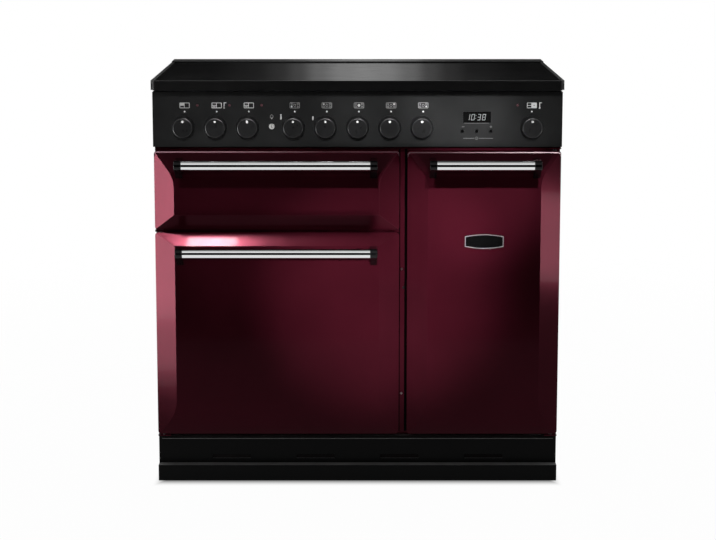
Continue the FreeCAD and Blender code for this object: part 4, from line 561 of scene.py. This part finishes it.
def screws(name, body, radius, facing, places, material):
    """Screw heads of one size as one piece. Facing is the way that the heads point."""
    head = screw_mesh(radius * MM)
    turn = Vector((0, 0, 1)).rotation_difference(Vector(facing)).to_matrix().to_4x4()
    build = bmesh.new()
    for number, place in enumerate(places):
        twist = Matrix.Rotation(number * SCREW_TWIST, 4, "Z")
        single = bmesh.new()
        single.from_mesh(head)
        single.transform(Matrix.Translation(Vector(place) * MM) @ turn @ twist)
        piece = bpy.data.meshes.new("head")
        single.to_mesh(piece)
        single.free()
        build.from_mesh(piece)
        bpy.data.meshes.remove(piece)
    bpy.data.meshes.remove(head)
    return place_mesh(name, body, build, material)


# Control panel marks

PANEL_FRONT = -268
INK = 0.12
ICON_Z = 848.4
INDEX_Z = 834.9
MARK_SHIFT = 3.2
KNOB_Z = 801
KNOB_FACE = -294
KNOBS = {"grill_knob": -380, "main_oven_thermostat_knob": -310, "main_oven_function_knob": -240,
         "hob_knob_front_left": -140, "hob_knob_rear_left": -70, "hob_knob_centre": 0,
         "hob_knob_rear_right": 70, "hob_knob_front_right": 140, "tall_oven_thermostat_knob": 380}
# Half the width and half the height of an oven icon, how far its outline reaches in, and half
# the width of the line between its cavities.
OVEN_HALF_WIDTH, OVEN_HALF_HEIGHT, OVEN_LINE, HALF_DIVIDER = 10.9, 6.1, 1.2, 0.6
# The five zones in a hob icon: X and Z from its middle, and the radius.
ZONE_MARKS = [(-6.6, -2.4, 2.1), (-6.6, 2.7, 1.7), (0, 0, 2.9), (6.6, 2.7, 2.1), (6.6, -2.4, 1.7)]
MARK_STEPS = 14


def frame_mark(x, z, line=1.3, radius=1.6):
    """A hollow box mark."""
    inner = rounded((x[0] + line, x[1] - line), (z[0] + line, z[1] - line),
                    max(radius - line, 0.2))
    return rounded(x, z, radius), (inner,)


def thermometer(x):
    """A stem with a hook at its top and a bulb at its foot."""
    z = ICON_Z
    return [rectangle((x - 0.9, x + 0.9), (z - 5, z + 6.5)),
            rectangle((x + 0.9, x + 5), (z + 4.9, z + 6.5)), disc(x, z - 5.5, 1.9, 12)]


def oven_icon(x, lit):
    """Two cavities on the left and one on the right; lit tells which of them is marked."""
    left, right = x - OVEN_HALF_WIDTH, x + OVEN_HALF_WIDTH
    foot, top = ICON_Z - OVEN_HALF_HEIGHT, ICON_Z + OVEN_HALF_HEIGHT
    half = HALF_DIVIDER
    middle = x - half
    inner_left, inner_right = left + OVEN_LINE, right - OVEN_LINE
    inner_foot, inner_top = foot + OVEN_LINE, top - OVEN_LINE
    marks = [frame_mark((left, right), (foot, top)),
             rectangle((middle - half, middle + half), (inner_foot, inner_top)),
             rectangle((inner_left, middle - half), (ICON_Z - half, ICON_Z + half))]
    if lit == "right":
        hole = [rectangle((x + 3.4, x + 6.4), (ICON_Z - half, ICON_Z + half))]
        marks.append((rectangle((middle + half, inner_right), (inner_foot, inner_top)), hole))
    elif lit == "lower":
        marks.append(frame_mark((left + 2.6, middle - 2.0), (foot + 2.4, ICON_Z - 2.0),
                                line=1.0, radius=1.1))
    else:
        marks.append(rectangle((inner_left, middle - half), (ICON_Z + half, inner_top)))
    return marks


def hob_icon(x):
    """The hob's outline with its five zones as rings."""
    z = ICON_Z
    marks = [frame_mark((x - 11, x + 11), (z - 6.2, z + 6.2), line=1.0, radius=2.0)]
    for zone_x, zone_z, radius in ZONE_MARKS:
        hole = disc(x + zone_x, z + zone_z, radius - 0.8, MARK_STEPS)
        marks.append((disc(x + zone_x, z + zone_z, radius, MARK_STEPS), (hole,)))
    return marks


def arc(x, z, radius, reach):
    """Points on a circle in steps of 20 degrees, over its top, from minus reach to reach."""
    angles = [math.radians(degrees) for degrees in range(-reach, reach + 1, 20)]
    return [(x + radius * math.sin(angle), z + radius * math.cos(angle)) for angle in angles]


def bulb_mark(x, z):
    """A lamp bulb's outline with its cap."""
    outer = arc(x, z + 1.5, 3.4, 150) + [(x + 1.3, z - 3.2), (x - 1.3, z - 3.2)]
    inner = arc(x, z + 1.5, 2.6, 145) + [(x + 0.7, z - 2.2), (x - 0.7, z - 2.2)]
    return [(outer, (inner,)), rectangle((x - 1.3, x + 1.3), (z - 4.6, z - 3.9))]


def panel_marks():
    """The icons and index dots over the knobs and the small marks by the light button."""
    dim, bright, brightest = [], [], []
    bright += oven_icon(KNOBS["grill_knob"] + MARK_SHIFT, "upper")
    bright += oven_icon(KNOBS["main_oven_thermostat_knob"] + MARK_SHIFT, "lower")
    bright += thermometer(KNOBS["main_oven_thermostat_knob"] + MARK_SHIFT + 16)
    bright += oven_icon(KNOBS["main_oven_function_knob"] + MARK_SHIFT, "lower")
    brightest += oven_icon(KNOBS["tall_oven_thermostat_knob"], "right")
    brightest += thermometer(KNOBS["tall_oven_thermostat_knob"] + 17)
    hob_knobs = [name for name in KNOBS if name.startswith("hob_knob")]
    for name, (zone_x, zone_z, radius) in zip(hob_knobs, ZONE_MARKS):
        x = KNOBS[name] + MARK_SHIFT
        dim += hob_icon(x)
        brightest.append(disc(x + zone_x, ICON_Z + zone_z, radius + 0.2, MARK_STEPS))
    for name, x in KNOBS.items():
        shift = 0 if name == "tall_oven_thermostat_knob" else MARK_SHIFT
        brightest.append(disc(x + shift, INDEX_Z, 1.8, MARK_STEPS))
    for step in (-4.2, 0, 4.2):
        bright.append(rounded((-168.6, -165.4), (821.3 + step, 824.7 + step), 0.8))
    bright.append(rounded((-98.9, -95.6), (815.8, 824.6), 1.5))
    bright += bulb_mark(-187, 823)
    shapes("panel_marks_brightest", "carcass", PANEL_FRONT, INK, brightest, INDEX_INK)
    shapes("panel_marks_bright", "carcass", PANEL_FRONT, INK, bright, PRINT_WHITE)
    button_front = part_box("light_button")[0][1] * 1000
    mark = [rectangle((-187.7, -186.7), (799.8, 805)), rectangle((-186.7, -184.9), (799.8, 800.8))]
    shapes("light_button_mark", "light_button", button_front, 0.1, mark, WINDOW_BLACK)
    shapes("panel_marks_dim", "carcass", PANEL_FRONT, INK, dim, PRINT_GREY)


# Clock

CLOCK_X = 260
WINDOW_FILM = 0.06
SEGMENTS = {"0": "abcdef", "1": "bc", "3": "abcdg", "8": "abcdefg"}
DIGIT_WIDTH, DIGIT_HEIGHT, DIGIT_FOOT = 7.3, 13.4, 815.9
DIGIT_LINE, DIGIT_GAP, DIGIT_SLANT = 1.15, 0.25, 0.16


def digit(text, left):
    """One figure of seven slanting bars."""
    width, height, line, half = DIGIT_WIDTH, DIGIT_HEIGHT, DIGIT_LINE, DIGIT_HEIGHT / 2
    left_bar, across, right_bar = (0, line), (line, width - line), (width - line, width)
    lower, upper = (DIGIT_GAP, half - DIGIT_GAP), (half + DIGIT_GAP, height - DIGIT_GAP)
    spans = {"a": (across, (height - line, height)), "b": (right_bar, upper),
             "c": (right_bar, lower), "d": (across, (0, line)), "e": (left_bar, lower),
             "f": (left_bar, upper), "g": (across, (half - line / 2, half + line / 2))}
    return [[(left + x + DIGIT_SLANT * z, DIGIT_FOOT + z) for x, z in rectangle(*spans[name])]
            for name in SEGMENTS[text]]


def clock_face():
    """The dark window, its glowing figures and the marks by its buttons."""
    shapes("clock_window", "carcass", PANEL_FRONT, WINDOW_FILM,
           [rounded((230.4, 291.0), (810.6, 834.6), 1.0)], WINDOW_BLACK)
    figures = digit("1", 236.6) + digit("0", 247.2)
    figures += [disc(258.6, DIGIT_FOOT + 9.8, 0.8, 10), disc(257.8, DIGIT_FOOT + 4.4, 0.8, 10)]
    figures += digit("3", 260.2) + digit("8", 271.2)
    shapes("clock_figures", "carcass", PANEL_FRONT - WINDOW_FILM, 0.05, figures, DIGIT_GLOW)
    shapes("clock_window_line", "carcass", PANEL_FRONT - WINDOW_FILM, 0.04,
           [rectangle((233, 287), (809.0, 809.9))], PRINT_DIM)
    ring = (disc(CLOCK_X, 776.3, 3.4), (disc(CLOCK_X, 776.3, 2.4),))
    bars = [((231, CLOCK_X - 5), (775.6, 777)), ((CLOCK_X + 5, 296), (775.6, 777)),
            ((CLOCK_X - 0.5, CLOCK_X + 0.5), (774.8, 777.8)),
            ((228.2, 233.4), (800.9, 802.5)), ((288.6, 293.8), (800.9, 802.5)),
            ((290.4, 292.0), (799.1, 800.9)), ((290.4, 292.0), (802.5, 804.3))]
    marks = [ring] + [rectangle(x, z) for x, z in bars]
    shapes("clock_marks", "carcass", PANEL_FRONT, INK, marks, PRINT_DIM)


# Knobs

KNOB_ROUNDING = 2.0
DOT_RISE = 14
DOT_SUNK = 0.1
DOT_PROFILE = [(0, 0.9), (0.9, 0.85), (1.8, 0.6), (2.6, 0.2), (2.85, -0.3)]


def knob_details(node_name, x):
    """The knob with rounded edges, and the white dot on its face."""
    soft_pieces[node_name] = softened(node_name, node_name, KNOB_ROUNDING * MM, segments=3)
    build = bmesh.new()
    lathe(build, DOT_PROFILE)
    place = (x * MM, (KNOB_FACE + DOT_SUNK) * MM, (KNOB_Z + DOT_RISE) * MM)
    build.transform(Matrix.Translation(place) @ Matrix.Rotation(math.pi / 2, 4, "X")
                    @ Matrix.Scale(MM, 4))
    place_mesh(f"{node_name}_dot", node_name, build, DOT_WHITE, smooth=True)


panel_marks()
clock_face()
for knob_name, knob_x in KNOBS.items():
    knob_details(knob_name, knob_x)


# Screws and small fittings

UPRIGHT_FRONT = -226
REAR_FACE = 321
PLINTH_BACK = -238.2
SLOT_CENTRES = (-283.5, -94.5, 94.5, 283.5)

screws("mullion_screws", "carcass", 2.7, (0, -1, 0),
       [(98.6, UPRIGHT_FRONT, 479), (98.6, UPRIGHT_FRONT, 195)], SCREW_STEEL)
rear_screws = [(x, REAR_FACE, z) for x in (-437, 437) for z in (130, 300, 470, 640, 810)]
rear_screws += [(x, REAR_FACE, z) for x in (-290, 0, 290) for z in (112, 862)]
screws("rear_screws", "carcass", 4.2, (0, 1, 0), rear_screws, SCREW_STEEL)
# Painted shade: dark sheets behind the plinth's slots, where the view under the cooker lies in
# shadow.
shapes("slot_painted_shade", "carcass", PLINTH_BACK, 0.4,
       [rectangle((x - 47, x + 47), (45, 60.5)) for x in SLOT_CENTRES], PAINTED_SHADE_BLACK)
# Painted shade: a black disc on the upright stands for a hole.
shapes("mullion_hole_painted_shade", "carcass", UPRIGHT_FRONT, 0.2, [disc(102.6, 437, 3.2)], CASING_BLACK)


# Badge plate rim

BADGE_END_HEIGHT = 23
BADGE_FRONT = -279
BADGE_STEPS = 10
BADGE_RIM_WIDTH, BADGE_RIM_SUNK, BADGE_RIM_DEPTH = 1.7, 0.4, 1.0


def badge_outline(inset):
    """Upright ends and bowed top and bottom edges, as the plate has."""
    low, high = (corner * 1000 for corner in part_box("badge_plate"))
    half, end = (high[0] - low[0]) / 2 - inset, BADGE_END_HEIGHT / 2 - inset
    centre_x, centre_z = (low[0] + high[0]) / 2, (low[2] + high[2]) / 2
    bow = (high[2] - low[2] - BADGE_END_HEIGHT) / 2
    shares = [1 - 2 * step / BADGE_STEPS for step in range(BADGE_STEPS + 1)]
    upper = [(centre_x + half * share, centre_z + end + bow * (1 - share ** 2))
             for share in shares]
    lower = [(2 * centre_x - x, 2 * centre_z - z) for x, z in upper]
    return upper + lower


shapes("badge_rim", "tall_oven_door", BADGE_FRONT + BADGE_RIM_SUNK, BADGE_RIM_DEPTH,
       [(badge_outline(0.0), (badge_outline(BADGE_RIM_WIDTH),))], BADGE_RIM)


# Door rims with a painted highlight, and painted shade beside the upright and on the plinth

DOOR_EDGE_FRONT = -254
RIM_SUNK = 0.6
RIM_INSET = 0.3
RIM_CORNER = 7
RIM_END = 5
RIM_STEPS = 6
UPRIGHT_SPAN = (108, 748)
PLINTH_FRONT = -240.4
PLINTH_SPAN = (-440, 440)


def top_highlight_rim(name, node_name, body, drop, line, proud=2.0):
    """A fine raised rim along the top edge of a door, which turns down at both corners; its pale
    colour is a painted highlight.
    """
    low, high = (edge * 1000 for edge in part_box(node_name))
    left, right, top = low[0] + RIM_INSET, high[0] - RIM_INSET, high[2] - drop
    bend = top - RIM_CORNER
    outer, inner = [], []
    for centre_x, start in ((left + RIM_CORNER, math.pi), (right - RIM_CORNER, math.pi / 2)):
        for step in range(RIM_STEPS + 1):
            angle = start - step / RIM_STEPS * math.pi / 2
            for points, radius in ((outer, RIM_CORNER), (inner, RIM_CORNER - line)):
                points.append((centre_x + radius * math.cos(angle),
                               bend + radius * math.sin(angle)))
    band = [(left, bend - RIM_END), *outer, (right, bend - RIM_END), *reversed(inner)]
    return shapes(name, body, DOOR_EDGE_FRONT + RIM_SUNK, proud + RIM_SUNK, [band], RIM_PAINTED_HIGHLIGHT)


# Rims whose colour is a painted highlight of the doors' top edges; a lamp lights them as well.
highlight_rims = [top_highlight_rim("grill_door_highlight_rim", "grill_door_outer", "grill_door", 0.9, 2.8),
        top_highlight_rim("tall_door_highlight_rim", "tall_oven_door_outer", "tall_oven_door", 2.5, 2.1, proud=2.8)]
# Painted shade: dark strips on the upright stand for the shadowed gaps beside the doors.
shapes("upright_painted_shade", "carcass", UPRIGHT_FRONT, 0.3,
       [rectangle((91.4, 94.8), UPRIGHT_SPAN), rectangle((104.6, 110.6), UPRIGHT_SPAN)], PAINTED_SHADE_BLACK)
# Painted shade in the gap above the plinth, and a painted highlight along the plinth's rolled top.
shapes("plinth_top_shade", "carcass", PLINTH_FRONT, 0.3,
       [rectangle(PLINTH_SPAN, (94.6, 100.3))], PAINTED_SHADE_BLACK)
shapes("plinth_top_painted_highlight", "carcass", PLINTH_FRONT, 0.5,
       [rectangle(PLINTH_SPAN, (93.2, 94.6))], PRINT_DIM)


# Camera

CAMERA_PLACE = Vector((0, -4.7484, 1.2842))
CAMERA_TILT = 0.16701
LENS = 103.63
SENSOR_WIDTH = 36
PHOTO_LIFT_PIXELS = 20
PHOTO_SIDE_PIXELS = 0.5
PHOTO_WIDTH_PIXELS = 716

camera_data = bpy.data.cameras.new("camera")
camera_data.lens = LENS
camera_data.sensor_width = SENSOR_WIDTH
camera_data.shift_x = PHOTO_SIDE_PIXELS / PHOTO_WIDTH_PIXELS
camera_data.shift_y = -PHOTO_LIFT_PIXELS / PHOTO_WIDTH_PIXELS
camera_data.clip_end = 200
camera = bpy.data.objects.new("camera", camera_data)
camera.location = CAMERA_PLACE
camera.rotation_euler = (math.pi / 2 - CAMERA_TILT, 0, 0)
bpy.context.scene.collection.objects.link(camera)
bpy.context.scene.camera = camera
bpy.context.scene.view_settings.view_transform = "Standard"


# Light and background

POOL_SOFTNESS = 0.04
# The world's light from the front and from the rear, and the Y of the directions between
# which it rises from the one to the other.
FILL_FRONT, FILL_REAR = 0.075, 0.9
FILL_FROM, FILL_TO = -0.5, 0.8
BOARD_GREY = 0.012
CEILING_GREY = 0.36


def seen_background(tree):
    """1 for rays that show the background, straight or through gloss or glass, else 0."""
    path = tree.nodes.new("ShaderNodeLightPath")
    total = path.outputs["Is Camera Ray"]
    for kind in ("Is Glossy Ray", "Is Transmission Ray"):
        links = {0: total, 1: path.outputs[kind]}
        total = add_node(tree, "ShaderNodeMath", links, operation="MAXIMUM").outputs[0]
    return total


def make_world():
    """White where it is seen; its fill light is low from the front and stronger from the rear."""
    world = bpy.data.worlds.new("studio")
    bpy.context.scene.world = world
    world.use_nodes = True
    tree = world.node_tree
    direction = add_node(tree, "ShaderNodeTexCoord")
    parts = add_node(tree, "ShaderNodeSeparateXYZ", {0: direction.outputs["Generated"]})
    level = add_node(tree, "ShaderNodeMapRange", {
        "Value": parts.outputs["Y"], "From Min": FILL_FROM, "From Max": FILL_TO,
        "To Min": FILL_FRONT, "To Max": FILL_REAR})
    links = {0: seen_background(tree), 2: level.outputs["Result"], 3: 1.0}
    white = add_node(tree, "ShaderNodeMix", links, data_type="FLOAT")
    background = tree.nodes["Background"]
    background.inputs["Color"].default_value = (1, 1, 1, 1)
    tree.links.new(white.outputs[0], background.inputs["Strength"])


def aim(light, place, target):
    light.location = place
    light.rotation_euler = (Vector(target) - Vector(place)).to_track_quat("-Z", "Y").to_euler()
    light.visible_camera = False
    bpy.context.scene.collection.objects.link(light)


def hide_from(piece, rays):
    for ray in rays:
        setattr(piece, f"visible_{ray}", False)


def soft_box(name, place, target, width, height, radiance):
    """A lamp that shows only in gloss, as bright there as its radiance says."""
    data = bpy.data.lights.new(name, "AREA")
    data.shape = "RECTANGLE"
    data.size, data.size_y = width, height
    data.energy = radiance * math.pi * width * height
    light = bpy.data.objects.new(name, data)
    light.visible_diffuse = False
    aim(light, place, target)
    return light


def only_for(light, pieces):
    """Keeps a lamp to some of the pieces."""
    chosen = bpy.data.collections.new(light.name)
    for piece in pieces:
        chosen.objects.link(piece)
    light.light_linking.receiver_collection = chosen


def pool(name, place, target, angle, level):
    """A spot lamp whose soft pool is level times as bright as white paper at its middle."""
    data = bpy.data.lights.new(name, "SPOT")
    data.spot_size = math.radians(angle)
    data.spot_blend = 1.0
    data.energy = level * 4 * math.pi ** 2 * (Vector(target) - Vector(place)).length_squared
    data.shadow_soft_size = POOL_SOFTNESS
    light = bpy.data.objects.new(name, data)
    light.visible_glossy = False
    aim(light, place, target)
    return light


def flag(name, place, width, height, mitre=0, skirt=0):
    """An upright strip that is never seen and only throws a soft shadow.

    Its lower corners come in by the mitre, like the slope on top of a door, and the skirt goes
    on straight down from them.
    """
    mesh = bpy.data.meshes.new(name)
    side, foot, top = width / 2, -height / 2, height / 2
    corners = [(-side, 0, top), (side, 0, top), (side - mitre, 0, foot), (mitre - side, 0, foot)]
    if skirt:
        corners[3:3] = [(side - mitre, 0, foot - skirt), (mitre - side, 0, foot - skirt)]
    mesh.from_pydata(corners, [], [tuple(range(len(corners)))])
    strip = bpy.data.objects.new(name, mesh)
    strip.location = place
    hide_from(strip, ("camera", "diffuse", "glossy", "transmission", "volume_scatter"))
    bpy.context.scene.collection.objects.link(strip)


def card(name, place, target, width, height, levels, fall=(1.0, 1.0)):
    """A board that shows only in gloss.

    Its levels are pairs of a distance from its middle and a brightness. Fall tells how much of
    that distance lies between the middle and the edge along each axis.
    """
    mesh = bpy.data.meshes.new(name)
    half_width, half_height = width / 2, height / 2
    corners = [(-half_width, -half_height, 0), (half_width, -half_height, 0),
               (half_width, half_height, 0), (-half_width, half_height, 0)]
    mesh.from_pydata(corners, [], [(0, 1, 2, 3)])
    board = bpy.data.objects.new(name, mesh)
    aim(board, place, target)
    hide_from(board, ("diffuse", "shadow", "transmission", "volume_scatter"))
    material = bpy.data.materials.new(name)
    material.use_nodes = True
    tree = material.node_tree
    tree.nodes.remove(tree.nodes["Principled BSDF"])
    where = add_node(tree, "ShaderNodeTexCoord")
    scale = (fall[0] / half_width, fall[1] / half_height, 0)
    scaled = add_node(tree, "ShaderNodeMapping",
                      {"Vector": where.outputs["Object"], "Scale": scale})
    distance = add_node(tree, "ShaderNodeVectorMath", {0: scaled.outputs["Vector"]},
                        operation="LENGTH")
    level = add_node(tree, "ShaderNodeValToRGB", {"Fac": distance.outputs["Value"]})
    level.color_ramp.interpolation = "EASE"
    set_stops(level, [(position, grey(value)) for position, value in levels])
    glow = add_node(tree, "ShaderNodeEmission", {"Color": level.outputs["Color"]})
    tree.links.new(glow.outputs[0], tree.nodes["Material Output"].inputs["Surface"])
    dress(board, material)


def even(level):
    return [(0.0, level), (1.0, level)]


make_world()

# Strips that draw the highlights on the bevels of the doors
soft_box("left_strip", (-1.187, -0.757, 0.46), (-0.43, -0.27, 0.46), 0.24, 0.54, 48)
soft_box("left_strip_low", (-1.187, -0.757, 0.12), (-0.43, -0.27, 0.12), 0.24, 0.14, 27)
soft_box("left_strip_foot", (-1.187, -0.757, 0.028), (-0.43, -0.27, 0.028), 0.24, 0.044, 10)
soft_box("right_strip", (1.187, -0.757, 0.41), (0.43, -0.27, 0.41), 0.2, 0.24, 24)
only_for(soft_box("top_strip", (-0.47, -1.03, 2.55), (-0.30, -0.27, 0.55), 0.155, 0.14, 680),
         [soft_pieces["main_oven_door_outer"]])

# Lamps for the knobs and the rims, and one lamp high on each side
knob_pieces = [soft_pieces[knob_name] for knob_name in KNOBS]
only_for(soft_box("knob_strip", (0.15, -1.3, 2.2), (0.1, -0.28, 0.8), 1.5, 0.35, 50), knob_pieces)
only_for(soft_box("knob_glint", (0.15, -1.3, 2.2), (0.1, -0.28, 0.8), 0.16, 0.3, 420), knob_pieces)
only_for(pool("rim_pool", (0.0, -4.0, 1.62), (0.0, -0.26, 0.745), 40, 1.5), highlight_rims)
soft_box("high_left_box", (-1.9, -0.5, 3.1), (0, -0.3, 0.8), 0.8, 0.8, 7)
soft_box("high_right_box", (1.9, -0.5, 3.1), (0, -0.3, 0.8), 0.8, 0.8, 12)

# Pools of light on the doors and the panel
pool("pool_middle", (0.35, -4.2, 1.5), (0.06, -0.27, 0.45), 9, 1.25)
pool("pool_right", (0.9, -4.2, 1.5), (0.27, -0.27, 0.66), 5.5, 1.2)
pool("pool_panel", (0.3, -4.0, 2.2), (0.22, -0.27, 0.85), 4.2, 2.6)
pool("pool_panel_left", (-0.3, -4.0, 2.2), (-0.22, -0.27, 0.85), 8.5, 0.8)
pool("pool_panel_middle", (0.1, -4.0, 2.2), (0.055, -0.27, 0.83), 4.6, 1.3)
pool("pool_panel_right", (0.4, -4.0, 2.2), (0.375, -0.27, 0.82), 3.6, 0.9)
pool("pool_grill_left", (-0.3, -4.2, 1.5), (-0.24, -0.27, 0.62), 8, 0.24)

# Flags: the first keeps the panel's pools off the doors, the others keep all pools off the
# hob's front edge and the slopes of the doors
flag("panel_pool_flag", (0.0, -1.3, 1.09), 1.5, 0.13)
flag("hob_front_flag", (0.0, -0.6, 1.0085), 1.1, 0.042)
flag("grill_top_flag", (-0.165, -0.42, 0.752), 0.53, 0.056, mitre=0.043, skirt=0.026)
flag("tall_top_flag", (0.295, -0.42, 0.752), 0.325, 0.056, mitre=0.043, skirt=0.026)
flag("grill_slope_flag", (-0.19, -1.3, 0.828), 0.62, 0.03)

# Boards that show in the hob's glass, the bars and the gloss of the enamel
card("rear_card", (0.02, 1.2, 1.05), (0.02, 0, 1.05), 1.8, 0.5,
     [(0.0, 0.40), (0.07, 0.36), (0.147, 0.23), (0.21, 0.10), (0.27, 0.045), (0.35, 0.018),
      (0.5, 0.006), (1.0, 0.004)], fall=(1.0, 0.02))
card("front_card", (0, -6, 2.05), (0, 0, 2.05), 9, 4.1, even(BOARD_GREY))
card("floor_card", (0, -3.9, 0.002), (0, -3.9, 3), 9, 4.2, even(BOARD_GREY))
card("ceiling_card", (0, 0.8, 3.2), (0, 0.8, 0), 6, 4.6, even(CEILING_GREY))


# Floor

FLOOR_RADIUS = 3.0
FLOOR_DROP = 0.0005
# Where the floor begins to fade and has gone, as shares of its radius.
FADE_FROM, FADE_TO = 0.35, 0.95
# Along each axis, the end of the painted shadow under the cooker and the start of the full white.
PAINTED_SHADOW_PATCH = (("X", 0.42, 0.46), ("Y", 0.235, 0.30))
FLOOR_WHITE = 0.98


def under_cooker(tree, where):
    """How much of the floor's own white shows: none under the cooker, where no light reaches."""
    parts = add_node(tree, "ShaderNodeSeparateXYZ", {0: where.outputs["Object"]})
    edges = []
    for axis, inner, outer in PAINTED_SHADOW_PATCH:
        size = add_node(tree, "ShaderNodeMath", {0: parts.outputs[axis]}, operation="ABSOLUTE")
        links = {"Value": size.outputs[0], "From Min": inner, "From Max": outer,
                 "To Max": FLOOR_WHITE}
        rise = add_node(tree, "ShaderNodeMapRange", links, interpolation_type="SMOOTHSTEP")
        edges.append(rise.outputs["Result"])
    higher = add_node(tree, "ShaderNodeMath", dict(enumerate(edges)), operation="MAXIMUM")
    return higher.outputs[0]


def make_floor():
    """A pale round floor that fades into the white around it, keeps the shadow, and has a painted
    shadow under the cooker.
    """
    mesh = bpy.data.meshes.new("floor")
    build = bmesh.new()
    bmesh.ops.create_circle(build, cap_ends=True, segments=96, radius=FLOOR_RADIUS)
    build.to_mesh(mesh)
    build.free()
    floor = bpy.data.objects.new("floor", mesh)
    floor.location.z = -FLOOR_DROP
    bpy.context.scene.collection.objects.link(floor)
    material = bpy.data.materials.new("floor")
    material.use_nodes = True
    tree = material.node_tree
    tree.nodes.remove(tree.nodes["Principled BSDF"])
    where = add_node(tree, "ShaderNodeTexCoord")
    shown = under_cooker(tree, where)
    # Painted shadow: the floor's matt colour is near black under the cooker.
    shadow_tone = add_node(tree, "ShaderNodeValToRGB", {"Fac": shown})
    set_stops(shadow_tone, [(0.0, grey(0.01)), (1.0, grey(0.9))])
    matt = add_node(tree, "ShaderNodeBsdfDiffuse", {"Color": shadow_tone.outputs["Color"]})
    glow = add_node(tree, "ShaderNodeEmission", {"Color": (1, 1, 1, 1)})
    clear = add_node(tree, "ShaderNodeBsdfTransparent")
    share = add_node(tree, "ShaderNodeMath", {0: seen_background(tree), 1: shown},
                     operation="MULTIPLY")
    pale = add_node(tree, "ShaderNodeMixShader",
                    {0: share.outputs[0], 1: matt.outputs[0], 2: glow.outputs[0]})
    distance = add_node(tree, "ShaderNodeVectorMath", {0: where.outputs["Object"]},
                        operation="LENGTH")
    fade = add_node(tree, "ShaderNodeMapRange", {
        "Value": distance.outputs["Value"], "From Min": FLOOR_RADIUS * FADE_FROM,
        "From Max": FLOOR_RADIUS * FADE_TO})
    edge = add_node(tree, "ShaderNodeMixShader",
                    {0: fade.outputs["Result"], 1: pale.outputs[0], 2: clear.outputs[0]})
    tree.links.new(edge.outputs[0], tree.nodes["Material Output"].inputs["Surface"])
    dress(floor, material)


make_floor()
